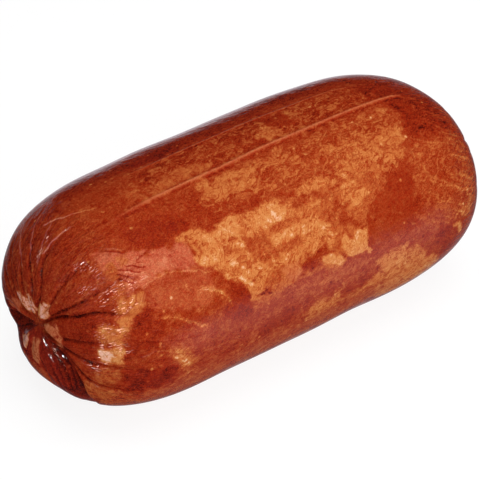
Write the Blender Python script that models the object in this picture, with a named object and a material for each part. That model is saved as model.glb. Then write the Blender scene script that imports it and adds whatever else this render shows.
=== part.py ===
"""A boneless smoked ham, pressed to a log in a skin-tight clear casing, lying on its side.

The casing is gathered at both ends. Folds stand round each gather, and creases run out from it
and die away on the shoulder. A deep valley comes down from the near gather. Two lines stand up
along the top, where folds of the casing pressed into the meat.

Metres, +Z up. The log lies along X with its near gather at -X. The origin is under its middle,
on the flat strip that it rests on. A turn is an angle round the log: 0 is the top, and 90 degrees
is the side at -Y. A path is a length measured over the surface, outward from a gather.
"""
import bmesh
import bpy
import numpy as np

# The log, before its folds and creases
LENGTH = 0.263
HALF_WIDTH = 0.0633
HALF_HEIGHT = 0.057
SETTLE = 0.0028             # how much of the round underside the weight presses flat
TAPER = 0.032               # how much thicker the far end is than the near end, as a share
BOW = 0.0044                # how far the middle bends towards +Y
LUMP = 0.00012              # height of the low lumps all over

# The two domed ends: (radius share) ** box + (share of the dome's depth) ** box = 1
NEAR_DOME = 0.080
NEAR_BOX = 3.04
FAR_DOME = 0.092
FAR_BOX = 3.22

# The gathers
NEAR_DIMPLE = 0.0028        # how far each gather is drawn in along X
FAR_DIMPLE = 0.0045
DIMPLE_WIDTH = 0.012
GATHER_RISE = 0.0022        # the near gather sits this far above the log's axis
GATHER_RISE_WIDTH = 0.020

# Folds right round a gather: the turns of the valleys between them, and how they stand up
NEAR_FOLDS = (-55, -20, 13, 43, 88, 108, 130, 150, 197, 232, 262)
FOLD_HEIGHT = 0.0022
FOLD_PATH = 0.011           # path at which the folds are highest
FOLD_WIDTH = 0.008
FOLD_ROUNDNESS = 2.4        # 2 is a round fold, and more has a flatter top

# Creases that run out from the near gather, in order: turn at each of STATIONS in degrees, then
# depth, half width, start and reach along the path
STATIONS = (0.020, 0.042, 0.064)
NEAR_CREASES = (
    (12, -1, 0, 0.0014, 0.0013, 0.010, 0.066),
    (19, 9, 9, 0.0003, 0.0010, 0.018, 0.040),
    (29, 24, 23, 0.0012, 0.0012, 0.012, 0.070),
    (34, 33, 32, 0.0004, 0.0010, 0.016, 0.058),
    (39, 42, 41, 0.0013, 0.0012, 0.012, 0.078),
    (43, 51, 60, 0.0021, 0.0014, 0.008, 0.078),
    (70, 72, 80, 0.0012, 0.0013, 0.014, 0.064),
    (85, 90, 94, 0.0015, 0.0013, 0.012, 0.070),
    (93, 111, 110, 0.0018, 0.0014, 0.014, 0.068),
    (96, 124, 124, 0.0004, 0.0010, 0.018, 0.050),
    (100, 137, 146, 0.0016, 0.0012, 0.004, 0.062),
    (110, 142, 150, 0.0012, 0.0010, 0.008, 0.056),
    (120, 147, 155, 0.0012, 0.0011, 0.008, 0.054),
    (132, 153, 160, 0.0006, 0.0010, 0.010, 0.050),
    (147, 160, 166, 0.0012, 0.0012, 0.010, 0.052),
    (168, 173, 174, 0.0014, 0.0014, 0.014, 0.052),
    (188, 189, 189, 0.0004, 0.0014, 0.012, 0.040),
    (206, 206, 206, 0.0008, 0.0014, 0.010, 0.044),
    (220, 220, 220, 0.0005, 0.0016, 0.010, 0.046),
    (235, 235, 235, 0.0010, 0.0014, 0.008, 0.048),
    (249, 249, 248, 0.0018, 0.0016, 0.008, 0.052),
    (262, 261, 260, 0.0008, 0.0014, 0.012, 0.050),
    (274, 273, 272, 0.0010, 0.0014, 0.012, 0.052),
    (285, 284, 284, 0.0006, 0.0012, 0.012, 0.050),
    (297, 298, 299, 0.0009, 0.0012, 0.012, 0.054),
    (309, 314, 314, 0.0010, 0.0012, 0.012, 0.060),
    (322, 321, 321, 0.0005, 0.0012, 0.012, 0.050),
    (333, 331, 330, 0.0010, 0.0012, 0.012, 0.058),
    (355, 342, 342, 0.0014, 0.0013, 0.012, 0.060),
    (363, 351, 350, 0.0005, 0.0012, 0.014, 0.050),
)
PLEATS = len(NEAR_CREASES)
CREASE_GROWTH = 0.012       # path over which a crease deepens from its start
CREASE_FADE = 0.034         # path over which a crease dies away before its reach
CREASE_SHARPNESS = 1.4      # 1 is a V, and 2 is a round groove

# The deep valley that comes down from the near gather: its turn at places along the path, and its
# half widths on the steep side and on the other side
VALLEY_TURNS = (
    (0.004, 80), (0.012, 90), (0.020, 97), (0.027, 107), (0.033, 119), (0.041, 136), (0.054, 151),
)
VALLEY_DEPTH = 0.0040
VALLEY_SIDES = (0.0034, 0.0075)

# Broad forms: turn and path of the middle, height, and half widths in degrees and along the path
BROAD_FORMS = (
    (247, 0.020, -0.0085, 20, 0.013),       # hollow behind the near gather
    (233, 0.041, -0.0023, 11, 0.013),       # and where it runs out over the edge
    (172, 0.040, -0.0014, 22, 0.011),       # the end drawn in under the near gather
    (196, 0.037, 0.0016, 30, 0.016),        # heavy fold of meat under the near gather
    (126, 0.150, 0.0015, 45, 0.070),        # the side that bulges towards the bottom
    (43, 0.027, -0.0014, 7, 0.005),         # pit where the longest two creases meet
)

# Creases round the far gather: the same number, spread evenly and then varied
FAR_SEED = 11
FAR_ROOT_SPREAD = 5.0
FAR_TIP_SPREAD = 3.5
FAR_TWIST = 14.0
FAR_DEPTH = (0.0004, 0.0022)
FAR_HALF_WIDTH = (0.0010, 0.0018)
FAR_START = (0.008, 0.016)
FAR_REACH = (0.038, 0.066)
FAR_FOLDS = 11              # valleys between the folds round the far gather

# The lines along the top: turn, height, half width, and where along X each starts and ends
SEAMS = (
    (11.0, 0.0007, 0.0013, -0.086, 0.098),
    (-11.0, 0.0004, 0.0008, -0.074, 0.066),
)
SEAM_FADE = 0.012
SEAM_PULL = 4.8             # degrees that draw the body's columns onto the two seams
BODY_EVEN = 0.140           # path by which the columns are spread evenly round the body

# The mesh: places of the columns from each crease to the next, and rows along the path
COLUMNS_IN_PLEAT = (0.0, 0.15, 0.5, 0.85)
SHOULDER = 0.066
END_ROWS = 18
BODY_ROWS = 10
PROFILE_STEPS = 4000

MEAT_COLOUR = (0.36, 0.055, 0.012, 1.0)
CASING_ROUGHNESS = 0.22


def smooth_step(value, start, end):
    """0 up to start, 1 from end on, with an S curve between."""
    share = np.clip((value - start) / (end - start), 0.0, 1.0)
    return share * share * (3.0 - 2.0 * share)


def dome(quarter, depth, box):
    """Distance in from the tip and share of the full radius, at an angle of 0 to 90 degrees."""
    inset = depth * (1.0 - np.cos(quarter) ** (2.0 / box))
    return inset, np.sin(quarter) ** (2.0 / box)


def log_profile():
    """X, radius share and path, from the near gather to the far one: dome, straight body, dome."""
    quarter = np.linspace(0.0, np.pi / 2.0, PROFILE_STEPS)
    near_inset, near_share = dome(quarter, NEAR_DOME, NEAR_BOX)
    far_inset, far_share = dome(quarter, FAR_DOME, FAR_BOX)
    x = np.concatenate([near_inset - LENGTH / 2.0, (LENGTH / 2.0 - far_inset)[::-1]])
    share = np.concatenate([near_share, far_share[::-1]])
    share = share * (1.0 + TAPER * x / LENGTH)
    steps = np.hypot(np.diff(x), np.diff(share) * (HALF_WIDTH + HALF_HEIGHT) / 2.0)
    return x, share, np.concatenate([[0.0], np.cumsum(steps)])


def row_paths(total):
    """The path of each row: close together over both ends, and wide apart along the body."""
    near = np.linspace(0.0, SHOULDER, END_ROWS)
    body = np.linspace(SHOULDER, total - SHOULDER, BODY_ROWS + 2)[1:-1]
    return np.concatenate([near, body, total - near[::-1]])


def far_creases():
    """Turns at the three stations, and depth, half width, start and reach, of each far crease."""
    rng = np.random.default_rng(FAR_SEED)
    even = np.arange(PLEATS) * 360.0 / PLEATS
    roots = even + FAR_TWIST + rng.uniform(-FAR_ROOT_SPREAD, FAR_ROOT_SPREAD, PLEATS)
    tips = even + rng.uniform(-FAR_TIP_SPREAD, FAR_TIP_SPREAD, PLEATS)
    turns = np.stack([roots, tips, tips], axis=-1)
    spans = (FAR_DEPTH, FAR_HALF_WIDTH, FAR_START, FAR_REACH)
    return turns, np.array([rng.uniform(*span, PLEATS) for span in spans])


def end_turn(turns, path):
    """Turn of a crease on an end, run smoothly through its turns at the three stations."""
    first, middle, last = turns.T
    to_middle = smooth_step(path, STATIONS[0], STATIONS[1])
    to_last = smooth_step(path, STATIONS[1], STATIONS[2])
    return first + (middle - first) * to_middle + (last - middle) * to_last


def crease_turn(crease, path, back_path):
    """Turn of a crease's column at a path: as listed on each end, and evenly spread on the body."""
    near_turns = np.array([row[:3] for row in NEAR_CREASES], dtype=float)
    even = np.arange(PLEATS) * 360.0 / PLEATS
    even = even - SEAM_PULL * np.sin(np.radians(even))
    # The crease after the last is the first one again, a whole turn on.
    laps = 360.0 * (crease // PLEATS)
    crease = crease % PLEATS
    near = end_turn(near_turns[crease], path)
    far = end_turn(far_creases()[0][crease], back_path)
    on_near = 1.0 - smooth_step(path, STATIONS[2], BODY_EVEN)
    on_far = 1.0 - smooth_step(back_path, STATIONS[2], BODY_EVEN)
    return even[crease] + (near - even[crease]) * on_near + (far - even[crease]) * on_far + laps


def crease_depth(crease, path, depths, starts, reaches):
    """Depth of a crease at a path: it deepens from its start and dies away at its reach."""
    crease = crease % PLEATS
    grown = smooth_step(path, starts[crease], starts[crease] + CREASE_GROWTH)
    faded = smooth_step(path, reaches[crease] - CREASE_FADE, reaches[crease])
    return depths[crease] * grown * (1.0 - faded)


def crease_relief(crease, across, gap, path, sizes):
    """How far inward the surface goes: a narrow groove along each of the two nearest creases."""
    depths, half_widths, starts, reaches = sizes
    inward = np.zeros_like(path)
    for this, off in ((crease, across * gap), (crease + 1, (1.0 - across) * gap)):
        half_width = np.minimum(half_widths[this % PLEATS], gap / 3.0)
        groove = np.exp(-((off / np.maximum(half_width, 1e-9)) ** CREASE_SHARPNESS))
        inward += crease_depth(this, path, depths, starts, reaches) * groove
    return inward


def valley_relief(path, turn, share):
    """Depth of the deep valley: a bell across it, steeper on one side, that fades at both ends."""
    off = np.radians((turn - np.interp(path, *zip(*VALLEY_TURNS)) + 180.0) % 360.0 - 180.0)
    off = off * share * HALF_WIDTH
    half_width = np.where(off < 0.0, *VALLEY_SIDES)
    fade = smooth_step(path, 0.004, 0.022) * (1.0 - smooth_step(path, 0.040, 0.068))
    return VALLEY_DEPTH * fade * np.exp(-((off / half_width) ** 2))


def fold_relief(path, turn, valleys):
    """Height of the folds right round a gather: a round arch from each valley to the next."""
    valleys = np.sort(np.asarray(valleys, dtype=float) % 360.0)
    valleys = np.concatenate([valleys, valleys[:1] + 360.0])
    lap = (turn - valleys[0]) % 360.0 + valleys[0]
    fold = np.clip(np.searchsorted(valleys, lap, side="right") - 1, 0, len(valleys) - 2)
    share_across = (lap - valleys[fold]) / (valleys[fold + 1] - valleys[fold])
    arch = 1.0 - np.abs(2.0 * share_across - 1.0) ** FOLD_ROUNDNESS
    bell = np.exp(-(((path - FOLD_PATH) / FOLD_WIDTH) ** 2)) * smooth_step(path, 0.0, FOLD_PATH)
    return FOLD_HEIGHT * bell * (arch - 0.5)


def seam_relief(x, turn):
    """Height of the lines along the top: a narrow round ridge that fades at its two ends."""
    height = np.zeros_like(x)
    for seam_turn, seam_height, half_width, start, end in SEAMS:
        off = np.radians((turn - seam_turn + 180.0) % 360.0 - 180.0) * HALF_WIDTH
        fade = smooth_step(x, start - SEAM_FADE, start) * (1.0 - smooth_step(x, end, end + SEAM_FADE))
        height += seam_height * fade * np.exp(-((off / half_width) ** 2))
    return height


def broad_relief(path, turn):
    """Height of the hollows and swellings: each a smooth bell round its middle."""
    height = np.zeros_like(path)
    for middle_turn, middle_path, peak, turn_width, path_width in BROAD_FORMS:
        off_turn = ((turn - middle_turn + 180.0) % 360.0 - 180.0) / turn_width
        off_path = (path - middle_path) / path_width
        height += peak * np.exp(-(off_turn ** 2) - off_path ** 2)
    return height


def low_lumps(x, turn):
    """Height of gentle lumps: waves of about 40 to 80 mm, crossing each other."""
    around = np.radians(turn)
    along = 2.0 * np.pi * x / LENGTH
    waves = np.sin(3.0 * around + 4.1 * along + 0.6) + np.sin(5.0 * around - 3.3 * along + 2.0)
    return LUMP * (waves + 0.8 * np.sin(8.0 * around + 6.1 * along))


def ham_points(row, column, rows, columns):
    """Each vertex's place, from its row along the path and its column round the log."""
    x_of_path, share_of_path, dense_path = log_profile()
    total = dense_path[-1]
    path = row_paths(total)[row]
    back_path = total - path
    x = np.interp(path, dense_path, x_of_path)
    share = np.interp(path, dense_path, share_of_path)

    crease = column // len(COLUMNS_IN_PLEAT)
    across = np.array(COLUMNS_IN_PLEAT)[column % len(COLUMNS_IN_PLEAT)]
    turn = crease_turn(crease, path, back_path)
    turn = turn + (crease_turn(crease + 1, path, back_path) - turn) * across

    gap = crease_turn(crease + 1, path, back_path) - crease_turn(crease, path, back_path)
    gap = np.radians(gap) * share * HALF_WIDTH
    near_sizes = np.array([crease_row[3:] for crease_row in NEAR_CREASES]).T
    inward = crease_relief(crease, across, gap, path, near_sizes)
    inward = inward + crease_relief(crease, across, gap, back_path, far_creases()[1])
    far_valleys = np.arange(FAR_FOLDS) * 360.0 / FAR_FOLDS + 6.0 * np.sin(2.4 * np.arange(FAR_FOLDS))
    inward = inward - fold_relief(path, turn, NEAR_FOLDS) - fold_relief(back_path, turn, far_valleys)
    inward = inward + valley_relief(path, turn, share)
    at_poles = smooth_step(np.minimum(path, back_path), 0.0, DIMPLE_WIDTH)
    inward = inward - seam_relief(x, turn) - broad_relief(path, turn) - low_lumps(x, turn) * at_poles

    around = np.radians(turn)
    points = np.stack([x, -HALF_WIDTH * share * np.sin(around), HALF_HEIGHT * share * np.cos(around)], axis=-1)
    core = np.clip(x, NEAR_DOME - LENGTH / 2.0, LENGTH / 2.0 - FAR_DOME)
    towards = np.stack([core, 0.0 * x, 0.0 * x], axis=-1) - points
    points += towards / np.linalg.norm(towards, axis=-1, keepdims=True) * inward[..., None]

    points[..., 0] += NEAR_DIMPLE * np.exp(-((path / DIMPLE_WIDTH) ** 2))
    points[..., 0] -= FAR_DIMPLE * np.exp(-((back_path / DIMPLE_WIDTH) ** 2))
    points[..., 1] += BOW * (1.0 - (2.0 * x / LENGTH) ** 2)
    points[..., 2] += GATHER_RISE * np.exp(-((path / GATHER_RISE_WIDTH) ** 2))
    points[..., 2] = np.maximum(points[..., 2] + HALF_HEIGHT - SETTLE, 0.0)
    return points


def make_ham():
    """A ball of rows and columns whose vertices are moved onto the ham."""
    columns = PLEATS * len(COLUMNS_IN_PLEAT)
    rows = 2 * END_ROWS + BODY_ROWS - 1
    ball = bmesh.new()
    bmesh.ops.create_uvsphere(ball, u_segments=columns, v_segments=rows, radius=1.0)
    mesh = bpy.data.meshes.new("ham")
    ball.to_mesh(mesh)
    ball.free()

    places = np.empty(3 * len(mesh.vertices))
    mesh.vertices.foreach_get("co", places)
    x, y, z = places.reshape(-1, 3).T
    row = np.rint(np.arccos(np.clip(-z, -1.0, 1.0)) / np.pi * rows).astype(int)
    column = np.rint(np.arctan2(y, x) / (2.0 * np.pi) * columns).astype(int) % columns
    points = ham_points(row, column, rows, columns)
    points[:, :2] -= (points[:, :2].max(axis=0) + points[:, :2].min(axis=0)) / 2.0
    mesh.vertices.foreach_set("co", points.ravel())
    mesh.update()

    skin = bmesh.new()
    skin.from_mesh(mesh)
    bmesh.ops.recalc_face_normals(skin, faces=skin.faces)
    skin.to_mesh(mesh)
    skin.free()
    mesh.shade_smooth()
    return mesh


def make_finish():
    """Smoked meat under a clear casing: red-brown and glossy."""
    finish = bpy.data.materials.new("smoked_meat")
    finish.use_nodes = True
    shader = finish.node_tree.nodes["Principled BSDF"]
    shader.inputs["Base Color"].default_value = MEAT_COLOUR
    shader.inputs["Roughness"].default_value = CASING_ROUGHNESS
    shader.inputs["Metallic"].default_value = 0.0
    return finish


for old in list(bpy.data.objects):
    bpy.data.objects.remove(old, do_unlink=True)

ham = bpy.data.objects.new("ham", make_ham())
ham.data.materials.append(make_finish())
bpy.context.scene.collection.objects.link(ham)
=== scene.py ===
"""The looks of a boneless smoked ham in a skin-tight clear casing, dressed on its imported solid.

Metres, +Z up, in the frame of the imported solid. The log lies along X with its near gather at -X.
A turn is an angle round the log: 0 is the top, and 90 degrees is the side at -Y. A path is a
length measured over the surface, outward from a gather.
"""

import bpy
import numpy as np
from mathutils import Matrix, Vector


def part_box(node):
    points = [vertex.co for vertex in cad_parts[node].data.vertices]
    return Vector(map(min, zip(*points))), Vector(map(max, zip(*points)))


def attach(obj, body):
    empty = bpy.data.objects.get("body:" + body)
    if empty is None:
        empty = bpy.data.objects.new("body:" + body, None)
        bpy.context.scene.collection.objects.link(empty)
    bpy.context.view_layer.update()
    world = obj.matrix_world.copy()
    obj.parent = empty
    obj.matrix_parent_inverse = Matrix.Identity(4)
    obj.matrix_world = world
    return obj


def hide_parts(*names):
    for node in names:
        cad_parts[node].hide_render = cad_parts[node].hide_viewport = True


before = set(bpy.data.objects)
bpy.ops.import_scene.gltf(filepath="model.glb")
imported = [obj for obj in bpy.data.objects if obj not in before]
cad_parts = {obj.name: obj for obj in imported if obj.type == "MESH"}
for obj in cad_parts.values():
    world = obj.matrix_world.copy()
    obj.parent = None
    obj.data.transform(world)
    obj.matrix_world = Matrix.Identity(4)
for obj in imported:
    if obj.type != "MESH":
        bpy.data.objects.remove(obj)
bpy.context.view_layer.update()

# The camera
# It looks down on the ham from the near gather's side, with a long lens from a little over a
# metre. The ham's middle falls at one pixel of the photograph, and the lens shift puts it there.
PHOTO_SIDE = 480
MIDDLE_COLUMN = 246.5
MIDDLE_ROW = 235.6
CAMERA_AZIMUTH = -37.9
CAMERA_ELEVATION = 35.0
CAMERA_DISTANCE = 1.1286
SENSOR = 36.0
LENS = 163.65
AIM = Vector((0.0, -0.004, 0.0542))


def outward(azimuth, elevation):
    """Direction from the aim, of length 1: an azimuth of 0 is towards -Y and one of 90 degrees is
    towards +X, and the elevation is above the level."""
    azimuth = np.radians(azimuth)
    elevation = np.radians(elevation)
    level_share = np.cos(elevation)
    return Vector((np.sin(azimuth) * level_share, -np.cos(azimuth) * level_share, np.sin(elevation)))


back = outward(CAMERA_AZIMUTH, CAMERA_ELEVATION)
camera_data = bpy.data.cameras.new("camera")
camera_data.sensor_width = SENSOR
camera_data.lens = LENS
camera_data.shift_x = (PHOTO_SIDE / 2.0 - MIDDLE_COLUMN) / PHOTO_SIDE
camera_data.shift_y = (MIDDLE_ROW - PHOTO_SIDE / 2.0) / PHOTO_SIDE
camera = bpy.data.objects.new("camera", camera_data)
camera.location = AIM + back * CAMERA_DISTANCE
camera.rotation_euler = back.to_track_quat("Z", "Y").to_euler()
bpy.context.scene.collection.objects.link(camera)
bpy.context.scene.camera = camera

# The ham in its casing
# Cured pork pressed to a log, drawn into a clear casing that is gathered at both ends and smoked.
# One skin stands for the meat and the casing shrunk onto it: both have the same surface.
LENGTH = 0.263
HALF_WIDTH = 0.0633
HALF_HEIGHT = 0.057
SETTLE = 0.0028             # how much of the round underside the weight presses flat
TAPER = 0.032               # how much thicker the far end is than the near end, as a share
BOW = 0.0044                # how far the middle bends towards +Y
LUMP = 0.00012              # height of the low lumps all over
TINY = 1e-9                 # keeps what is divided by above 0

# The waves that make the lumps: how many go round, how many go along, phase, and share of LUMP
LUMP_WAVES = ((3.0, 4.1, 0.6, 1.0), (5.0, -3.3, 2.0, 1.0), (8.0, 6.1, 0.0, 0.8))

# The two domed ends: (radius share) ** box + (share of the dome's depth) ** box = 1
NEAR_DOME = 0.080
NEAR_BOX = 3.04
FAR_DOME = 0.092
FAR_BOX = 3.22

# The gathers
NEAR_DIMPLE = 0.0028        # how far each gather is drawn in along X
FAR_DIMPLE = 0.0045
DIMPLE_WIDTH = 0.012
GATHER_RISE = 0.0022        # the near gather sits this far above the log's axis
GATHER_RISE_WIDTH = 0.020

# Folds right round a gather: the turns of the valleys between them, and how they stand up
NEAR_FOLDS = (-55, -20, 13, 43, 88, 108, 130, 150, 197, 232, 262)
FOLD_HEIGHT = 0.0022
FOLD_PATH = 0.011           # path at which the folds are highest
FOLD_WIDTH = 0.008
FOLD_ROUNDNESS = 2.4        # 2 is a round fold, and more has a flatter top

# Creases that run out from the near gather, in order: turn at each of STATIONS in degrees, then
# depth, half width, start and reach along the path
STATIONS = (0.020, 0.042, 0.064)
NEAR_CREASES = (
    (12, -1, 0, 0.0014, 0.0013, 0.010, 0.066),
    (19, 9, 9, 0.0003, 0.0010, 0.018, 0.040),
    (29, 24, 23, 0.0012, 0.0012, 0.012, 0.070),
    (34, 33, 32, 0.0004, 0.0010, 0.016, 0.058),
    (39, 42, 41, 0.0013, 0.0012, 0.012, 0.078),
    (43, 51, 60, 0.0021, 0.0014, 0.008, 0.078),
    (70, 72, 80, 0.0012, 0.0013, 0.014, 0.064),
    (85, 90, 94, 0.0015, 0.0013, 0.012, 0.070),
    (93, 111, 110, 0.0018, 0.0014, 0.014, 0.068),
    (96, 124, 124, 0.0004, 0.0010, 0.018, 0.050),
    (100, 137, 146, 0.0016, 0.0012, 0.004, 0.062),
    (110, 142, 150, 0.0012, 0.0010, 0.008, 0.056),
    (120, 147, 155, 0.0012, 0.0011, 0.008, 0.054),
    (132, 153, 160, 0.0006, 0.0010, 0.010, 0.050),
    (147, 160, 166, 0.0012, 0.0012, 0.010, 0.052),
    (168, 173, 174, 0.0014, 0.0014, 0.014, 0.052),
    (188, 189, 189, 0.0004, 0.0014, 0.012, 0.040),
    (206, 206, 206, 0.0008, 0.0014, 0.010, 0.044),
    (220, 220, 220, 0.0005, 0.0016, 0.010, 0.046),
    (235, 235, 235, 0.0010, 0.0014, 0.008, 0.048),
    (249, 249, 248, 0.0018, 0.0016, 0.008, 0.052),
    (262, 261, 260, 0.0008, 0.0014, 0.012, 0.050),
    (274, 273, 272, 0.0010, 0.0014, 0.012, 0.052),
    (285, 284, 284, 0.0006, 0.0012, 0.012, 0.050),
    (297, 298, 299, 0.0009, 0.0012, 0.012, 0.054),
    (309, 314, 314, 0.0010, 0.0012, 0.012, 0.060),
    (322, 321, 321, 0.0005, 0.0012, 0.012, 0.050),
    (333, 331, 330, 0.0010, 0.0012, 0.012, 0.058),
    (355, 342, 342, 0.0014, 0.0013, 0.012, 0.060),
    (363, 351, 350, 0.0005, 0.0012, 0.014, 0.050),
)
PLEATS = len(NEAR_CREASES)
CREASE_GROWTH = 0.012       # path over which a crease deepens from its start
CREASE_FADE = 0.034         # path over which a crease dies away before its reach
CREASE_SHARPNESS = 1.4      # 1 is a V, and 2 is a round groove

# The deep valley that comes down from the near gather: its turn at places along the path, and its
# half widths on the steep side and on the other side
VALLEY_TURNS = (
    (0.004, 80), (0.012, 90), (0.020, 97), (0.027, 107), (0.033, 119), (0.041, 136), (0.054, 151),
)
VALLEY_DEPTH = 0.0040
VALLEY_SIDES = (0.0034, 0.0075)
VALLEY_GROWS = (0.004, 0.022)       # paths between which it deepens, and dies away again
VALLEY_FADES = (0.040, 0.068)

# Broad forms: turn and path of the middle, height, and half widths in degrees and along the path
BROAD_FORMS = (
    (247, 0.020, -0.0085, 20, 0.013),       # hollow behind the near gather
    (233, 0.041, -0.0023, 11, 0.013),       # and where it runs out over the edge
    (172, 0.040, -0.0014, 22, 0.011),       # the end drawn in under the near gather
    (196, 0.037, 0.0016, 30, 0.016),        # heavy fold of meat under the near gather
    (126, 0.150, 0.0015, 45, 0.070),        # the side that bulges towards the bottom
    (43, 0.027, -0.0014, 7, 0.005),         # pit where the longest two creases meet
)

# Creases round the far gather: the same number, spread evenly and then varied
FAR_SEED = 11
FAR_ROOT_SPREAD = 5.0
FAR_TIP_SPREAD = 3.5
FAR_TWIST = 14.0
FAR_DEPTH = (0.0004, 0.0022)
FAR_HALF_WIDTH = (0.0010, 0.0018)
FAR_START = (0.008, 0.016)
FAR_REACH = (0.038, 0.066)
FAR_FOLDS = 11              # valleys between the folds round the far gather
FAR_FOLD_STRAY = 6.0        # degrees by which they stray from even spacing, as a wave
FAR_FOLD_WAVE = 2.4         # radians of that wave from one valley to the next

# The lines along the top: height, half width, where along X each starts and ends, and its turn at
# places along X
SEAMS = (
    (0.0007, 0.0013, -0.078, 0.088,
     ((-0.080, 12.3), (-0.040, 11.9), (0.000, 11.0), (0.085, 9.9))),
    (0.0004, 0.0007, -0.052, 0.070,
     ((-0.050, -9.8), (0.000, -10.1), (0.050, -9.7), (0.066, -8.2), (0.078, -6.0))),
)
SEAM_FADE = 0.012
SEAM_PULL = 4.8             # degrees that draw the body's columns onto the two seams
BODY_EVEN = 0.140           # path by which the columns are spread evenly round the body

# The mesh: rows along the path, and columns between creases on the near side and on the far side
ROWS = 330
CLOSE_COLUMNS = 13
WIDE_COLUMNS = 7
COLUMN_PULL = 0.6           # how much closer the columns are at a crease, as a share
CLOSE_PLEATS = tuple(range(0, 11)) + (27, 28, 29)
PROFILE_STEPS = 4000        # steps in which the outline is measured


def smooth_step(value, start, end):
    """0 up to start, 1 from end on, with an S curve between."""
    share = np.clip((value - start) / (end - start), 0.0, 1.0)
    return share * share * (3.0 - 2.0 * share)


def dome(quarter, depth, box):
    """Distance in from the tip and share of the full radius, at an angle of 0 to 90 degrees."""
    inset = depth * (1.0 - np.cos(quarter) ** (2.0 / box))
    return inset, np.sin(quarter) ** (2.0 / box)


def log_profile():
    """X, radius share and path, from the near gather to the far one: dome, straight body, dome."""
    quarter = np.linspace(0.0, np.pi / 2.0, PROFILE_STEPS)
    near_inset, near_share = dome(quarter, NEAR_DOME, NEAR_BOX)
    far_inset, far_share = dome(quarter, FAR_DOME, FAR_BOX)
    x = np.concatenate([near_inset - LENGTH / 2.0, (LENGTH / 2.0 - far_inset)[::-1]])
    share = np.concatenate([near_share, far_share[::-1]])
    share = share * (1.0 + TAPER * x / LENGTH)
    steps = np.hypot(np.diff(x), np.diff(share) * (HALF_WIDTH + HALF_HEIGHT) / 2.0)
    return x, share, np.concatenate([[0.0], np.cumsum(steps)])


def far_creases():
    """Turns at the three stations, and depth, half width, start and reach, of each far crease."""
    rng = np.random.default_rng(FAR_SEED)
    even = np.arange(PLEATS) * 360.0 / PLEATS
    roots = even + FAR_TWIST + rng.uniform(-FAR_ROOT_SPREAD, FAR_ROOT_SPREAD, PLEATS)
    tips = even + rng.uniform(-FAR_TIP_SPREAD, FAR_TIP_SPREAD, PLEATS)
    turns = np.stack([roots, tips, tips], axis=-1)
    spans = (FAR_DEPTH, FAR_HALF_WIDTH, FAR_START, FAR_REACH)
    return turns, np.array([rng.uniform(*span, PLEATS) for span in spans])


def end_turn(turns, path):
    """Turn of a crease on an end, run smoothly through its turns at the three stations."""
    first, middle, last = np.moveaxis(turns, -1, 0)
    to_middle = smooth_step(path, STATIONS[0], STATIONS[1])
    to_last = smooth_step(path, STATIONS[1], STATIONS[2])
    return first + (middle - first) * to_middle + (last - middle) * to_last


def crease_turn(crease, path, back_path):
    """Turn of a crease's column at a path: as listed on each end, and evenly spread on the body."""
    near_turns = np.array([row[:3] for row in NEAR_CREASES], dtype=float)
    even = np.arange(PLEATS) * 360.0 / PLEATS
    even = even - SEAM_PULL * np.sin(np.radians(even))
    # The crease after the last is the first one again, a whole turn on.
    laps = 360.0 * (crease // PLEATS)
    crease = crease % PLEATS
    near = end_turn(near_turns[crease], path)
    far = end_turn(far_creases()[0][crease], back_path)
    on_near = 1.0 - smooth_step(path, STATIONS[2], BODY_EVEN)
    on_far = 1.0 - smooth_step(back_path, STATIONS[2], BODY_EVEN)
    return even[crease] + (near - even[crease]) * on_near + (far - even[crease]) * on_far + laps


def crease_depth(crease, path, depths, starts, reaches):
    """Depth of a crease at a path: it deepens from its start and dies away at its reach."""
    crease = crease % PLEATS
    grown = smooth_step(path, starts[crease], starts[crease] + CREASE_GROWTH)
    faded = smooth_step(path, reaches[crease] - CREASE_FADE, reaches[crease])
    return depths[crease] * grown * (1.0 - faded)


def crease_relief(crease, across, gap, path, sizes):
    """How far inward the surface goes: a narrow groove along each of the two nearest creases."""
    depths, half_widths, starts, reaches = sizes
    inward = np.zeros_like(path)
    for this, off in ((crease, across * gap), (crease + 1, (1.0 - across) * gap)):
        # Where creases run close together they are narrower.
        half_width = np.minimum(half_widths[this % PLEATS], gap / 3.0)
        groove = np.exp(-((off / np.maximum(half_width, TINY)) ** CREASE_SHARPNESS))
        inward += crease_depth(this, path, depths, starts, reaches) * groove
    return inward


def turn_apart(turn, middle):
    """Degrees from one turn to another the short way round, from -180 to 180."""
    return (turn - middle + 180.0) % 360.0 - 180.0


def valley_relief(path, turn, share):
    """Depth of the deep valley: a bell across it, steeper on one side, that fades at both ends."""
    off = np.radians(turn_apart(turn, np.interp(path, *zip(*VALLEY_TURNS))))
    off = off * share * HALF_WIDTH
    half_width = np.where(off < 0.0, *VALLEY_SIDES)
    fade = smooth_step(path, *VALLEY_GROWS) * (1.0 - smooth_step(path, *VALLEY_FADES))
    return VALLEY_DEPTH * fade * np.exp(-((off / half_width) ** 2))


def fold_relief(path, turn, valleys):
    """Height of the folds right round a gather: a round arch from each valley to the next."""
    valleys = np.sort(np.asarray(valleys, dtype=float) % 360.0)
    valleys = np.concatenate([valleys, valleys[:1] + 360.0])
    lap = (turn - valleys[0]) % 360.0 + valleys[0]
    fold = np.clip(np.searchsorted(valleys, lap, side="right") - 1, 0, len(valleys) - 2)
    share_across = (lap - valleys[fold]) / (valleys[fold + 1] - valleys[fold])
    arch = 1.0 - np.abs(2.0 * share_across - 1.0) ** FOLD_ROUNDNESS
    bell = np.exp(-(((path - FOLD_PATH) / FOLD_WIDTH) ** 2)) * smooth_step(path, 0.0, FOLD_PATH)
    return FOLD_HEIGHT * bell * (arch - 0.5)


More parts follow.
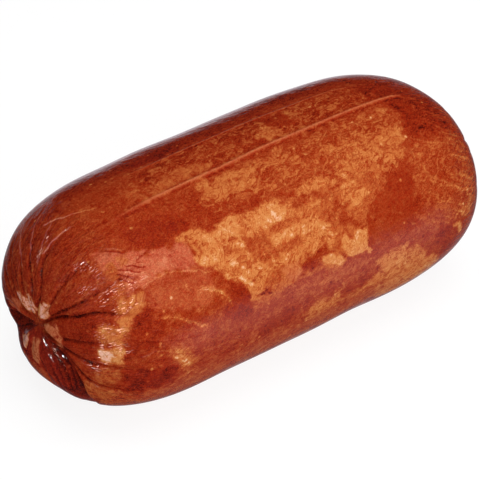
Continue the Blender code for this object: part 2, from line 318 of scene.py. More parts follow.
def seam_relief(x, turn):
    """Height of the lines along the top: a narrow round ridge that fades at its two ends."""
    height = np.zeros_like(x)
    for seam_height, half_width, start, end, turns in SEAMS:
        seam_turn = np.interp(x, *zip(*turns))
        off = np.radians(turn_apart(turn, seam_turn)) * HALF_WIDTH
        fade = smooth_step(x, start - SEAM_FADE, start) * (1.0 - smooth_step(x, end, end + SEAM_FADE))
        height += seam_height * fade * np.exp(-((off / half_width) ** 2))
    return height


def broad_relief(path, turn):
    """Height of the hollows and swellings: each a smooth bell round its middle."""
    height = np.zeros_like(path)
    for middle_turn, middle_path, peak, turn_width, path_width in BROAD_FORMS:
        off_turn = turn_apart(turn, middle_turn) / turn_width
        off_path = (path - middle_path) / path_width
        height += peak * np.exp(-(off_turn ** 2) - off_path ** 2)
    return height


def low_lumps(x, turn):
    """Height of gentle lumps: waves of about 40 to 80 mm, crossing each other."""
    around = np.radians(turn)
    along = 2.0 * np.pi * x / LENGTH
    waves = np.zeros_like(x)
    for times_round, times_along, phase, wave_share in LUMP_WAVES:
        waves += wave_share * np.sin(times_round * around + times_along * along + phase)
    return LUMP * waves


def column_places():
    """Each column's crease and its share of the way across to the next crease."""
    counts = np.where(np.isin(np.arange(PLEATS), CLOSE_PLEATS), CLOSE_COLUMNS, WIDE_COLUMNS)
    crease = np.repeat(np.arange(PLEATS), counts)
    first = np.cumsum(counts) - counts
    across = (np.arange(counts.sum()) - first[crease]) / counts[crease]
    return crease, across - COLUMN_PULL * np.sin(2.0 * np.pi * across) / (2.0 * np.pi)


x_of_path, share_of_path, dense_path = log_profile()
total_path = dense_path[-1]
crease, across = column_places()
path = np.linspace(0.0, total_path, ROWS)[:, None] + 0.0 * across
back_path = total_path - path
x = np.interp(path, dense_path, x_of_path)
share = np.interp(path, dense_path, share_of_path)
crease = np.broadcast_to(crease, path.shape)
across = np.broadcast_to(across, path.shape)
turn = crease_turn(crease, path, back_path)
turn = turn + (crease_turn(crease + 1, path, back_path) - turn) * across

gap = crease_turn(crease + 1, path, back_path) - crease_turn(crease, path, back_path)
gap = np.radians(gap) * share * HALF_WIDTH
near_sizes = np.array([row[3:] for row in NEAR_CREASES]).T
far_sizes = far_creases()[1]
inward = crease_relief(crease, across, gap, path, near_sizes)
inward = inward + crease_relief(crease, across, gap, back_path, far_sizes)
far_folds = np.arange(FAR_FOLDS)
far_valleys = far_folds * 360.0 / FAR_FOLDS + FAR_FOLD_STRAY * np.sin(FAR_FOLD_WAVE * far_folds)
inward = inward - fold_relief(path, turn, NEAR_FOLDS) - fold_relief(back_path, turn, far_valleys)
inward = inward + valley_relief(path, turn, share)
from_gather = np.minimum(path, back_path)
off_poles = smooth_step(from_gather, 0.0, DIMPLE_WIDTH)
inward = inward - seam_relief(x, turn) - broad_relief(path, turn) - low_lumps(x, turn) * off_poles

around = np.radians(turn)
sideways = -HALF_WIDTH * share * np.sin(around)
upward = HALF_HEIGHT * share * np.cos(around)
points = np.stack([x, sideways, upward], axis=-1)
# What goes inward goes towards the core, the line along the axis between the two domes.
core = np.clip(x, NEAR_DOME - LENGTH / 2.0, LENGTH / 2.0 - FAR_DOME)
towards = np.stack([core, 0.0 * x, 0.0 * x], axis=-1) - points
points += towards / np.linalg.norm(towards, axis=-1, keepdims=True) * inward[..., None]
points[..., 0] += NEAR_DIMPLE * np.exp(-((path / DIMPLE_WIDTH) ** 2))
points[..., 0] -= FAR_DIMPLE * np.exp(-((back_path / DIMPLE_WIDTH) ** 2))
points[..., 1] += BOW * (1.0 - (2.0 * x / LENGTH) ** 2)
points[..., 2] += GATHER_RISE * np.exp(-((path / GATHER_RISE_WIDTH) ** 2))
points[..., 2] = np.maximum(points[..., 2] + HALF_HEIGHT - SETTLE, 0.0)

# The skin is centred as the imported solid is, which rests on the floor at 0.
solid_low, solid_high = (np.array(corner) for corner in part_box("ham"))
flat = points.reshape(-1, 3)
off_centre = (flat.max(axis=0) + flat.min(axis=0) - solid_high - solid_low) / 2.0
points[..., :2] -= off_centre[:2]


def closed_skin(name, points):
    """A mesh from rows of points: quads between rows, and a fan onto one point at each pole."""
    rows, columns = points.shape[:2]
    ring = np.arange(columns)
    after = np.roll(ring, -1)
    start = 1 + np.arange(rows - 3)[:, None] * columns
    corners = [start + ring, start + columns + ring, start + columns + after, start + after]
    quads = np.stack(corners, axis=-1)
    last = 1 + (rows - 3) * columns
    near_fan = np.stack([0 * ring, 1 + ring, 1 + after], axis=-1)
    far_fan = np.stack([0 * ring + 1 + (rows - 2) * columns, last + after, last + ring], axis=-1)
    vertices = np.concatenate([points[:1, 0], points[1:-1].reshape(-1, 3), points[-1:, 0]])
    mesh = bpy.data.meshes.new(name)
    faces = near_fan.tolist() + quads.reshape(-1, 4).tolist() + far_fan.tolist()
    mesh.from_pydata(vertices.tolist(), [], faces)
    mesh.shade_smooth()
    return mesh


def store(mesh, name, field):
    """Keeps a number for each vertex, from rows of values, for the material to read."""
    values = np.concatenate([field[:1, 0], field[1:-1].ravel(), field[-1:, 0]])
    mesh.attributes.new(name, "FLOAT", "POINT").data.foreach_set("value", values.astype(np.float32))


ham_mesh = closed_skin("ham_in_casing", points)

# The marks in the meat are laid out on two maps, in millimetres. The body's has X and the turn as
# a length round the log. The near end's is flat, with the gather in its middle.
MM = 1000.0
ARC = np.radians(1.0) * (HALF_WIDTH + HALF_HEIGHT) / 2.0 * MM      # millimetres to a degree
END_REACH = 0.075           # path out to which the near end's map holds
OFF_MAP = 1e4               # millimetres, past every mark
MAP_START = -120.0          # turn at which the body's map starts and ends
map_x = x * MM
map_turn = (turn - MAP_START) % 360.0 + MAP_START
disc_x = path * MM * np.sin(around)
disc_y = path * MM * np.cos(around)
on_near_end = path < END_REACH


def body_place(at_x, at_turn):
    """Place on the body's map: millimetres along X, and a turn times the arc of one degree."""
    return at_x, at_turn * ARC


def end_place(at_turn, at_path):
    """Place on the near end's map: as far from the gather as its path, in its turn's direction."""
    return at_path * np.sin(np.radians(at_turn)), at_path * np.cos(np.radians(at_turn))


def distance_from(one, other, across_map, up_map):
    """Distance of each place from the straight line between two points: it is measured to the place
    square across on the line, or to an end where that falls outside."""
    (u0, v0), (u1, v1) = one, other
    du, dv = u1 - u0, v1 - v0
    along = ((across_map - u0) * du + (up_map - v0) * dv) / max(du * du + dv * dv, TINY)
    along = np.clip(along, 0.0, 1.0)
    return np.hypot(across_map - u0 - along * du, up_map - v0 - along * dv)


def depth_inside(outline, across_map, up_map):
    """Distance in from the nearest side of a closed outline, and less than 0 outside it. A place is
    inside if a line drawn from it across the map crosses the sides an odd number of times."""
    corners = np.array(outline, dtype=float)
    inside = np.zeros(across_map.shape, dtype=bool)
    nearest = np.full(across_map.shape, np.inf)
    for one, other in zip(corners, np.roll(corners, -1, axis=0)):
        nearest = np.minimum(nearest, distance_from(one, other, across_map, up_map))
        (u0, v0), (u1, v1) = one, other
        if v1 != v0:
            crossing = u0 + (up_map - v0) / (v1 - v0) * (u1 - u0)
            inside ^= ((v0 > up_map) != (v1 > up_map)) & (across_map < crossing)
    return np.where(inside, nearest, -nearest)


TABLE_LENGTH = 4096
TABLE_STEPS = (73856093, 19349663, 83492791)        # primes that spread the cubes over the table
CUBES_OFF = 1000.0                                  # keeps every cube's count above 0


def lattice_noise(places, size, seed):
    """Smooth random values from -1 to 1: each corner of a grid of cubes has a random value, and
    between corners the values run over in S curves."""
    rng = np.random.default_rng(seed)
    table = rng.uniform(-1.0, 1.0, TABLE_LENGTH)
    in_cubes = places / size + CUBES_OFF
    cell = np.floor(in_cubes).astype(np.int64)
    part = in_cubes - cell
    part = part * part * (3.0 - 2.0 * part)
    value = np.zeros(places.shape[:-1])
    for corner in np.ndindex(2, 2, 2):
        weight = np.prod(np.where(corner, part, 1.0 - part), axis=-1)
        key = np.bitwise_xor.reduce((cell + corner) * TABLE_STEPS, axis=-1)
        value += weight * table[key % TABLE_LENGTH]
    return value


# Outlines wander: each place is looked up a little to one side, by smooth noise in two sizes.
# Amounts are in millimetres, and the cubes' sizes in metres.
BROAD_WANDER = 1.3
BROAD_CUBES = 0.008
FINE_WANDER = 0.9
FINE_CUBES = 0.0035
RAGGED_CUBES = 0.0022
END_WANDER = 0.5            # share of the wandering on the near end, and of strokes and lines
STROKE_WANDER = 0.3
wander_x, wander_y = (
    BROAD_WANDER * lattice_noise(points, BROAD_CUBES, seed)
    + FINE_WANDER * lattice_noise(points, FINE_CUBES, seed + 1)
    for seed in (3, 5)
)
ragged = lattice_noise(points, RAGGED_CUBES, 7)

# Kinds of meat: share of fat in it, tone of its lean and of its fat from 0 dark to 1 white,
# pinkness, and grain from 0 for clouds to 1 for granules
KINDS = {
    "red lean": (0.36, 0.31, 0.52, 0.0, 0.8),
    "top lean": (0.26, 0.185, 0.43, 0.0, 0.85),
    "deep lean": (0.18, 0.240, 0.40, 0.0, 0.6),
    "dark lean": (0.10, 0.15, 0.30, 0.2, 0.5),
    "brown lean": (0.40, 0.29, 0.52, 0.1, 0.9),
    "rose lean": (0.38, 0.39, 0.60, 0.3, 0.7),
    "pale brown": (0.45, 0.38, 0.60, 0.10, 0.9),
    "pink lean and sheen": (0.25, 0.62, 0.72, 0.75, 0.4),
    "pale lean": (0.30, 0.50, 0.62, 0.3, 0.5),
    "smooth lean": (0.03, 0.345, 0.50, 0.0, 0.3),
    "plum lean": (0.14, 0.250, 0.46, 0.0, 0.6),
    "maroon lean": (0.18, 0.17, 0.40, 0.5, 0.5),
    "top mottle": (0.42, 0.23, 0.62, 0.0, 1.0),
    "mottle": (0.47, 0.35, 0.68, 0.0, 1.0),
    "bright mottle": (0.56, 0.43, 0.74, 0.0, 1.0),
    "streaks": (0.40, 0.36, 0.64, 0.0, 1.0),
    "orange haze": (0.55, 0.46, 0.64, 0.0, 0.8),
    "pale orange": (0.75, 0.54, 0.70, 0.2, 0.6),
    "ochre": (0.66, 0.44, 0.72, 0.0, 0.8),
    "fat": (0.64, 0.48, 0.78, 0.0, 0.9),
    "orange fat": (0.38, 0.44, 0.66, 0.0, 0.8),
    "cream fat": (0.82, 0.58, 0.84, 0.0, 0.8),
    "white fat": (1.00, 0.80, 0.99, 0.2, 0.2),
    "shoulder lean": (0.37, 0.250, 0.48, 0.0, 0.9),
    "amber lean": (0.45, 0.42, 0.62, 0.0, 0.8),
    "amber fat": (0.72, 0.48, 0.70, 0.0, 0.9),
    "rose fat": (0.70, 0.36, 0.62, 0.6, 0.4),
    "dim fat": (0.74, 0.36, 0.76, 0.5, 1.0),
    "tan fat": (0.78, 0.42, 0.97, 0.40, 1.0),
    "painted hollow shade": (0.10, 0.09, 0.26, 0.1, 0.6),
}

# Patches, later ones over earlier ones: kind, softness of the edge in mm, and corners as
# millimetres along X and turn
BODY_PATCHES = (
    # the top, and what lies between the seams
    ("top lean", 14, ((-112, -70), (112, -70), (112, -13), (60, -12), (0, -12), (-60, -12),
                      (-112, -20))),
    ("dark lean", 6, ((-58, -19), (-30, -20), (-28, -12), (-56, -12))),
    ("top mottle", 10, ((-66, -9), (-20, -10), (75, -9), (84, 8), (75, 10), (-66, 11))),
    ("orange haze", 12, ((-74, 3), (-50, 1), (-28, 4), (-28, 11), (-70, 11))),
    ("ochre", 5, ((6, 3), (14, -2), (20, 4), (20, 9), (10, 9))),
    ("deep lean", 4, ((16, -8), (32, -7), (32, 5), (24, 4), (18, -1))),
    ("orange haze", 3, ((32, -5), (39, -5), (40, 1), (34, 0))),
    # below the broad seam
    ("mottle", 12, ((-45, 16), (0, 14), (75, 14), (84, 24), (76, 32), (72, 42), (56, 50), (36, 47),
                    (0, 38), (-25, 32), (-45, 30))),
    ("ochre", 6, ((-42, 15), (-20, 16), (-8, 20), (-14, 27), (-30, 26), (-40, 24))),
    ("bright mottle", 9, ((28, 30), (40, 26), (56, 27), (60, 31), (78, 30), (75, 36), (73, 42),
                          (68, 45), (60, 44), (50, 43), (38, 42), (30, 38))),
    ("ochre", 3, ((58, 30), (66, 29), (78, 29), (77, 34), (73, 42), (70, 45), (64, 42), (58, 36))),
    ("orange haze", 6, ((12, 44), (34, 43), (58, 45), (50, 52), (42, 58), (36, 66), (28, 62),
                        (22, 50))),
    ("fat", 3, ((28, 46), (34, 44), (40, 47), (42, 52), (36, 56), (30, 57), (27, 52))),
    ("fat", 3, ((-2, 40), (8, 37), (20, 38), (26, 42), (16, 44), (6, 42))),
    # the near shoulder and what lies below it
    ("pale lean", 8, ((-102, 49), (-66, 49), (-58, 58), (-62, 66), (-76, 70), (-96, 62))),
    # This pink patch is partly the meat's own pink and partly a painted soft highlight.
    ("pink lean and sheen", 4, ((-110, 21), (-106, 21), (-100, 26), (-97, 31), (-92, 31), (-90, 35),
                      (-85, 36), (-78, 37), (-72, 38), (-70, 36), (-64, 38), (-64, 44), (-66, 50),
                      (-78, 49), (-92, 47), (-98, 49), (-104, 50), (-108, 40))),
    ("orange haze", 4, ((-108, 34), (-104, 31), (-102, 46), (-106, 50))),
    ("pale orange", 2, ((-104, 49), (-100, 49), (-97, 53), (-97, 58), (-101, 59), (-104, 56))),
    ("pale orange", 2, ((-101, 30), (-97, 31), (-95, 35), (-101, 36))),
    ("pink lean and sheen", 2, ((-91, 33), (-86, 32.5), (-85, 35), (-90, 36))),
    ("deep lean", 4, ((-92, 22), (-62, 22), (-58, 30), (-62, 35), (-70, 35), (-74, 36), (-84, 34),
                      (-88, 32))),
    ("dark lean", 3, ((-70, 27), (-64, 28), (-65, 32), (-70, 33))),
    ("deep lean", 5, ((-105, 60), (-98, 60), (-92, 68), (-92, 82), (-110, 84), (-106, 72))),
    ("deep lean", 5, ((-53, 66), (-46, 68), (-42, 80), (-44, 86), (-54, 86), (-58, 78))),
    ("brown lean", 10, ((-100, 90), (-46, 90), (0, 88), (36, 84), (36, 96), (0, 112), (-100, 118))),
    ("rose lean", 6, ((-94, 80), (-72, 78), (-64, 84), (-70, 90), (-88, 91))),
    ("pale brown", 8, ((-22, 81), (34, 82), (34, 88), (0, 91), (-20, 89))),
    # the far end
    ("streaks", 8, ((71, 46), (80, 40), (112, 42), (116, 60), (112, 86), (80, 86), (70, 80))),
    ("top lean", 10, ((74, -28), (112, -28), (116, 10), (112, 38), (84, 36), (86, 18), (76, 2))),
    ("deep lean", 4, ((82, 13), (90, 14), (94, 22), (92, 30), (86, 28), (83, 20))),
    ("smooth lean", 1.2, ((70, 45), (57, 50), (47, 55), (40, 61), (36, 64), (34, 69), (34.5, 82),
                          (50, 84), (60, 76), (66, 70), (69, 58))),
    ("brown lean", 6, ((34, 82), (60, 76), (72, 70), (84, 80), (84, 90), (66, 94), (58, 88), (36, 88))),
    ("deep lean", 6, ((80, 86), (90, 86), (96, 102), (92, 108), (84, 108), (78, 98))),
    ("dark lean", 4, ((80, 88), (86, 88), (85, 93), (79, 97))),
    ("cream fat", 2, ((92, 89), (97, 89), (98.5, 95), (100, 99), (97, 100), (94, 95))),
    ("ochre", 3, ((96, 83), (104, 83), (106, 90), (100, 90))),
    # the big fat area
    ("orange haze", 8, ((-6, 44), (14, 44), (20, 50), (16, 60), (34, 68), (30, 80), (-40, 82),
                        (-42, 74))),
    ("fat", 3, ((-70, 34), (-60, 35), (-57, 36), (-53, 38), (-50, 39.5), (-46, 38), (-40, 36.5),
                (-34, 35.5), (-32, 38), (-22, 38), (-10, 38), (-3, 42), (-2, 48), (6, 50), (12, 57),
                (15, 66), (10, 70), (-10, 70), (-20, 68), (-32, 72), (-38, 79), (-42, 79),
                (-44, 70), (-47, 66), (-53, 62), (-56, 57), (-60, 54), (-64, 52), (-65, 48),
                (-63, 46), (-64, 40), (-69, 37))),
    ("cream fat", 2.5, ((-64, 47), (-58, 48), (-54, 42), (-50, 40), (-47, 38.5), (-36, 38),
                        (-33, 40), (-34, 44), (-38, 46), (-46, 46), (-50, 51), (-56, 54), (-60, 53),
                        (-64, 51))),
    ("orange fat", 4, ((-36, 49), (-22, 51), (-20, 58), (-20, 64), (-30, 64), (-36, 60))),
    ("cream fat", 3, ((-30, 42), (-24, 40), (-12, 40), (-5, 43), (-6, 47), (-20, 48), (-30, 47))),
    ("orange fat", 2, ((-24, 49.5), (-14, 49), (-2, 50), (-1, 52.5), (-12, 53), (-22, 52))),
    ("cream fat", 2.5, ((-22, 53.5), (-12, 54), (0, 55), (8, 59), (4, 60), (-8, 57.5), (-20, 57))),
    ("orange fat", 2, ((-22, 58.5), (-8, 59), (0, 60), (-6, 62), (-22, 61))),
    ("pale orange", 3, ((-22, 69), (-10, 69), (-8, 76), (-12, 79), (-18, 76))),
    ("red lean", 3, ((-10, 71), (8, 69), (12, 72), (2, 78), (-4, 78), (-9, 76))),
    # the bright patch and the oval beside it
    ("cream fat", 1.5, ((15.5, 70), (18, 66.5), (20, 67), (21, 70), (25, 71.5), (27, 68), (33, 67),
                        (33, 78), (34.5, 82), (32, 83), (30, 80), (25, 79.5), (20, 78.5), (17, 75),
                        (15, 73))),
    ("cream fat", 1.5, ((3, 75), (6, 74), (10, 74), (14, 76), (16, 79), (13, 80), (8, 79), (5, 77.5))),
    # low on the far side
    ("fat", 3, ((38, 89), (47, 87), (52, 88), (57, 88), (58, 91), (64, 91), (66, 94), (69, 95),
                (72, 100), (76, 103), (79, 104), (82, 108), (86, 114), (88, 126), (45, 126),
                (45, 110), (42, 100))),
    ("ochre", 8, ((-4, 99), (14, 96), (16, 108), (12, 118), (-4, 118), (-9, 106))),
    ("ochre", 6, ((20, 104), (34, 100), (40, 96), (46, 118), (22, 118))),
    # a pale band along the bottom edge: a painted soft highlight on the lower side
    ("pale brown", 9, ((-104, 106), (-60, 107), (0, 108), (40, 106), (40, 132), (-104, 132))),
    ("plum lean", 3, ((-40, 96), (-30, 92), (-20, 90.5), (-16, 93), (-14, 98), (-17, 102),
                      (-30, 104), (-38, 102))),
    ("dark lean", 8, ((-112, 95), (-102, 94), (-88, 98), (-88, 110), (-112, 112))),
    ("orange fat", 3, ((-92, 88), (-86, 85), (-80, 90), (-76, 98), (-80, 102), (-88, 96))),
    ("ochre", 2, ((-90, 88), (-86, 86), (-82, 91), (-79, 98), (-82, 100), (-86, 95), (-90, 92))),
    # the underside
    ("mottle", 10, ((-84, 146), (-10, 140), (70, 144), (86, 176), (76, 226), (-10, 232), (-78, 222),
                    (-92, 180))),
    ("fat", 3, ((-16, 158), (14, 152), (42, 162), (46, 186), (24, 202), (-6, 196), (-22, 178))),
    ("deep lean", 4, ((-76, 160), (-40, 156), (-32, 180), (-50, 204), (-80, 196))),
    ("cream fat", 2.5, ((2, 164), (22, 162), (30, 176), (14, 184), (-2, 178))),
    ("plum lean", 5, ((52, 196), (78, 190), (82, 214), (60, 222))),
)

# Patches on the near end, with corners as turn and path
NEAR_PATCHES = (
    # the whole near end, then what lies left of the deep valley, then the valley and the hollow, both
    # painted dark as the shade in them
    ("shoulder lean", 10, ((-90, 62), (-50, 62), (-10, 62), (20, 60), (45, 58), (70, 50), (100, 46),
                           (130, 46), (160, 50), (200, 60), (240, 60))),
    ("deep lean", 5, ((50, 16), (46, 30), (48, 44), (58, 48), (66, 42), (80, 40), (92, 36), (90, 20))),
    ("maroon lean", 5, ((98, 12), (112, 28), (132, 42), (150, 60), (200, 60), (240, 50), (262, 34),
                        (262, 12), (200, 4), (120, 4))),
    ("rose lean", 4, ((170, 26), (168, 40), (200, 40), (215, 32), (200, 26))),
    ("dark lean", 3, ((86, 9), (95, 18), (104, 27), (114, 34), (126, 41), (140, 52), (158, 56),
                      (150, 42), (140, 32), (130, 22), (128, 8))),
    ("painted hollow shade", 3, ((234, 38), (258, 34), (270, 16), (262, 8), (232, 8))),
    # the fat round the gather
    ("tan fat", 2.5, ((-49, 20), (-47, 14), (-36, 8), (-6, 7), (8, 11), (-4, 14), (-26, 17),
                      (-34, 20))),
    ("rose fat", 1.5, ((-80, 23), (-66, 20), (-50, 16), (-62, 13), (-84, 17))),
    ("tan fat", 2.5, ((-20, 21), (-5, 19), (9, 16), (12, 12), (1, 9), (-10, 13), (-25, 19))),
    ("tan fat", 2.5, ((12, 18), (19, 13), (33, 12), (40, 15), (40, 20), (29, 25), (20, 24))),
    ("cream fat", 1, ((12, 17), (20, 13), (27, 15), (17, 21))),
    ("dim fat", 1.5, ((45, 10), (48, 17), (50, 23), (62, 22), (77, 23), (95, 21), (107, 18),
                      (92, 15), (70, 13))),
    ("dim fat", 1.5, ((204, 11), (158, 7), (163, 12), (170, 18), (178, 23), (190, 23), (197, 18))),
    ("tan fat", 1.5, ((226, 24), (216, 10), (208, 12), (206, 18), (208, 24))),
    ("rose fat", 2, ((264, 33), (288, 20), (296, 13), (270, 11), (254, 26), (256, 33))),
    # the fat along the near shoulder
    ("amber fat", 2, ((61, 46), (60, 50), (62, 54), (66, 58), (70, 59), (74, 57), (76, 53),
                      (74, 49), (74, 45), (67, 44))),
    ("cream fat", 1.5, ((62, 47), (61, 50), (64, 51), (67, 49), (66, 46))),
    ("orange haze", 3, ((50, 62), (60, 60), (70, 62), (66, 70), (52, 70))),
    ("amber fat", 2, ((76, 43), (76, 49), (77, 55), (82, 57), (88, 56), (90, 48), (87, 43))),
    ("cream fat", 2, ((77, 50), (77, 55), (81, 56), (86, 55), (87, 50))),
    ("white fat", 1.5, ((78, 43.5), (77.5, 49), (80, 51), (86, 48.5), (85, 44))),
    ("amber lean", 3, ((95, 40), (92, 47), (89, 52), (96, 53), (108, 51), (108, 44), (104, 40))),
    ("pale brown", 3, ((110, 50), (114, 60), (122, 70), (136, 66), (134, 50))),
    ("ochre", 1.5, ((51, 60), (51, 73), (58, 70), (62, 64), (69, 61), (69, 57), (60, 56))),
    ("deep lean", 1, ((62, 64), (60, 74), (70, 71), (78, 65), (87, 57), (87, 55), (78, 57), (69, 61))),
    ("orange haze", 2, ((111, 37), (111, 43), (111, 50), (117, 53), (126, 51), (132, 44), (130, 39))),
)

# Strokes and spots: change of tone, half width in mm, and the points one runs through
BODY_STROKES = (
    # beside the near end of the seams
    (-0.18, 0.9, ((-103, -17), (-102.5, -8))),
    (-0.12, 1.5, ((-99, -10),)),
    (0.25, 0.8, ((-84, 2),)),
    (-0.12, 0.8, ((-104, 8.5), (-97, 10), (-90, 12), (-80, 13.5))),
    (0.14, 2.4, ((-58, 13),)),
    # the near shoulder
    (0.15, 1.1, ((-93, 27.5),)),
    (0.22, 0.8, ((-85.7, 28),)),
    (0.18, 0.9, ((-95.7, 21.5),)),
    (0.14, 1.0, ((-73, 31),)),
    (-0.20, 0.7, ((-70, 45.5),)),
    # below the near shoulder
    (0.26, 1.1, ((-95, 66), (-91, 68), (-86, 69.5), (-83, 71), (-80, 74), (-76, 76), (-73, 79),
                 (-70, 80))),
    (0.25, 0.9, ((-93, 62.5),)),
    (0.25, 0.8, ((-85.5, 66),)),
    (0.22, 0.9, ((-91, 67),)),
    (0.30, 0.7, ((-90.7, 74.3),)),
    (0.32, 0.9, ((-72.3, 71.5),)),
    (0.12, 0.9, ((-69, 71.5),)),
    (0.22, 1.1, ((-61.5, 78.5),)),
    (0.15, 0.8, ((-91, 85), (-90, 88))),
    (0.20, 1.0, ((-88.5, 85), (-87.5, 88))),
    (0.15, 0.8, ((-97, 85), (-96, 88))),
    (0.15, 0.9, ((-104, 83), (-103, 87))),
    (0.15, 0.8, ((-108.5, 85), (-107.5, 88))),
    (0.24, 1.3, ((-89, 91), (-86, 94), (-81, 99))),
    (0.24, 1.2, ((-85, 99), (-81, 103), (-79, 105))),
    (0.20, 1.2, ((-43, 97.5),)),
    (0.22, 1.3, ((-42, 102.5),)),
    (-0.20, 0.9, ((-69, 91),)),
    (-0.20, 0.9, ((-56, 100),)),
    (-0.20, 1.0, ((-50, 97.5),)),
    # the strand left of the big fat area
    (0.26, 1.4, ((-70, 62), (-66, 62.5), (-62, 64.5), (-57, 68.5), (-54.5, 72), (-54, 75))),
    (0.22, 0.9, ((-65, 59.5),)),
    (0.24, 0.8, ((-67.5, 62),)),
    (0.24, 0.8, ((-55.5, 67.5),)),
    # in the big fat area
    (-0.24, 0.7, ((-46, 45.5), (-43, 46.5), (-39, 47.5))),
    (-0.20, 0.6, ((-50, 43), (-49, 47), (-47, 50))),
    (-0.16, 0.7, ((-60, 44), (-56, 43.5))),
    (-0.18, 0.8, ((-62, 37), (-61, 42), (-60, 46))),
    (0.22, 0.9, ((-48, 47), (-43, 49), (-39, 50), (-36.5, 54), (-37, 58))),
    (-0.18, 1.6, ((-47, 52), (-41, 53.5))),
    (0.22, 1.6, ((-48, 57), (-45, 58))),
    # a painted white glint
    (0.40, 1.1, ((-52.5, 62), (-50, 64), (-48, 66))),
    (0.26, 0.8, ((-55.5, 57), (-55, 58))),
    (-0.30, 1.0, ((-48, 61), (-46.5, 61))),
    (0.30, 0.8, ((-42.5, 60.5), (-41.5, 61))),
    (0.28, 0.8, ((-40.5, 62), (-40, 64.5))),
    (0.25, 0.9, ((-46, 64), (-44, 67))),
    (0.20, 1.0, ((-44, 69.5), (-40, 70.5))),
    (-0.28, 0.7, ((-43, 75), (-42.5, 77))),
    (-0.24, 0.8, ((-39, 60), (-38.5, 62))),
    (0.28, 0.9, ((-33, 64.5), (-32.5, 66))),
    (0.24, 0.7, ((-25, 63), (-24.5, 65))),
    (0.20, 0.8, ((-33, 60.5), (-32.5, 62))),
    (0.20, 1.0, ((-28, 67),)),
    (0.20, 0.8, ((-16, 62), (-15.5, 64.5))),
    (-0.50, 0.8, ((-36, 77.2), (-34, 77.2), (-32.3, 76.2))),
    (-0.54, 0.9, ((-32.5, 78), (-30.5, 78.4))),
    (0.24, 0.9, ((-18, 46.5),)),
    (0.20, 0.8, ((-14, 43), (-14, 46))),
    (-0.16, 0.7, ((-30, 39), (-28, 44))),
    (-0.18, 0.7, ((-36, 46), (-33, 45), (-29, 46))),
    (0.16, 0.7, ((8, 59.5), (11, 62), (13, 66))),
    (-0.22, 0.8, ((2, 70), (7, 69.5))),
    (-0.18, 0.8, ((4, 66.5), (7, 66))),
    (-0.20, 0.9, ((-9, 69), (-3, 68.5))),
    (-0.16, 1.2, ((-7, 73.5), (-1, 74))),
    (-0.24, 0.8, ((-3.5, 76.6), (-2.5, 76.4))),
    (-0.24, 0.8, ((1.5, 76.5), (3, 77.6))),
    (-0.30, 0.8, ((-9.5, 78),)),
    (-0.34, 0.9, ((16.8, 77.5), (18.5, 79.3))),
    (-0.20, 0.9, ((21, 69.5), (24, 69.5))),
    (0.34, 0.7, ((15.2, 65.5),)),
    (0.28, 0.8, ((-1.5, 55),)),
    (0.20, 0.8, ((-9.5, 57),)),
    (0.22, 1.3, ((8, 44.5),)),
    (0.16, 0.9, ((5, 47.5), (9, 48))),
    (0.14, 1.1, ((12, 48), (15, 47))),
    (0.18, 0.9, ((18, 48), (21, 49.5))),
    (0.22, 1.5, ((17, 59), (20, 57), (23, 55.5))),
    (0.16, 1.2, ((24, 53), (28, 50))),
    (0.26, 0.8, ((28.5, 45.3),)),
    (0.34, 1.2, ((33.2, 41.2),)),
    (0.20, 0.8, ((33.5, 59.5),)),
    (0.18, 0.8, ((26.5, 59.5),)),
    (0.20, 0.7, ((49.5, 47.5),)),
    (0.26, 0.7, ((28.3, 69.3),)),
    # in the mottle
    (0.34, 0.7, ((47.5, 25),)),
    (-0.20, 1.1, ((47.3, 26.9),)),
    (0.20, 0.8, ((21, 23.5),)),
    (0.22, 0.8, ((23.2, 27),)),
    (0.22, 0.8, ((23.5, 29.8),)),
    (0.24, 0.9, ((17.5, 18.3),)),
    (0.28, 1.0, ((-6.5, 15.2),)),
    (0.20, 0.8, ((-9.5, 21),)),
    (0.16, 1.8, ((2.5, 22.5),)),
    (0.14, 1.5, ((12.5, 22),)),
    (0.18, 1.5, ((0.5, 33.5),)),
    (-0.24, 0.9, ((7, 20.3),)),
    (0.12, 0.7, ((68, 29), (75, 30.5))),
    (-0.18, 0.6, ((64, 28.5), (72, 30), (77, 31))),
    # between the seams
    (-0.26, 1.0, ((13, 5.2),)),
    (0.16, 1.5, ((-22, 2.5),)),
    (0.20, 1.1, ((-2.5, -6),)),
    (0.14, 0.9, ((8, 2), (14, -2))),
    (0.16, 0.7, ((18, -11.5), (20, -14))),
    (0.20, 1.3, ((62, 5),)),
    # the far end
    (-0.16, 1.8, ((85, 15), (87, 21), (89, 26))),
    (0.14, 1.8, ((84, 22),)),
    (-0.20, 0.9, ((88, 33.5), (97, 32), (105, 32), (112, 34))),
    (-0.18, 1.6, ((87, 34.5),)),
    (0.12, 1.3, ((96, 19.5),)),
    (-0.20, 1.3, ((79, 96),)),
    (-0.26, 0.9, ((101, 109), (103, 113))),
    (0.14, 1.2, ((104, 74), (105, 79), (106, 82))),
    # specks on the smooth patch and round it: pale flecks, partly painted glints
    (0.28, 0.8, ((51.5, 61.2),)),
    (0.34, 0.8, ((38.7, 65.4),)),
    (0.24, 0.6, ((56, 68.3), (57, 69.5))),
    (0.15, 0.8, ((48, 65.5),)),
    (0.15, 0.7, ((42, 68),)),
    (0.15, 0.7, ((45.2, 68.3),)),
    (0.24, 0.7, ((68.8, 68),)),
    (0.28, 1.0, ((62.3, 76.8),)),
    (0.24, 1.0, ((76.5, 81.6),)),
    # along the bottom
    (-0.18, 1.3, ((44.5, 101),)),
    (-0.20, 1.3, ((56, 103),)),
    (0.18, 1.6, ((-28, 90.5),)),
    (0.14, 1.2, ((-23, 86),)),
    (0.22, 1.0, ((-12, 95.5), (-11.5, 98))),
    (0.14, 1.2, ((-4, 93), (1, 92))),
    (0.16, 1.0, ((10, 97.5), (16, 95.5))),
    (-0.20, 1.6, ((18.5, 99),)),
    (-0.15, 2.0, ((-27, 113),)),
    (-0.15, 1.4, ((-14, 112),)),
)

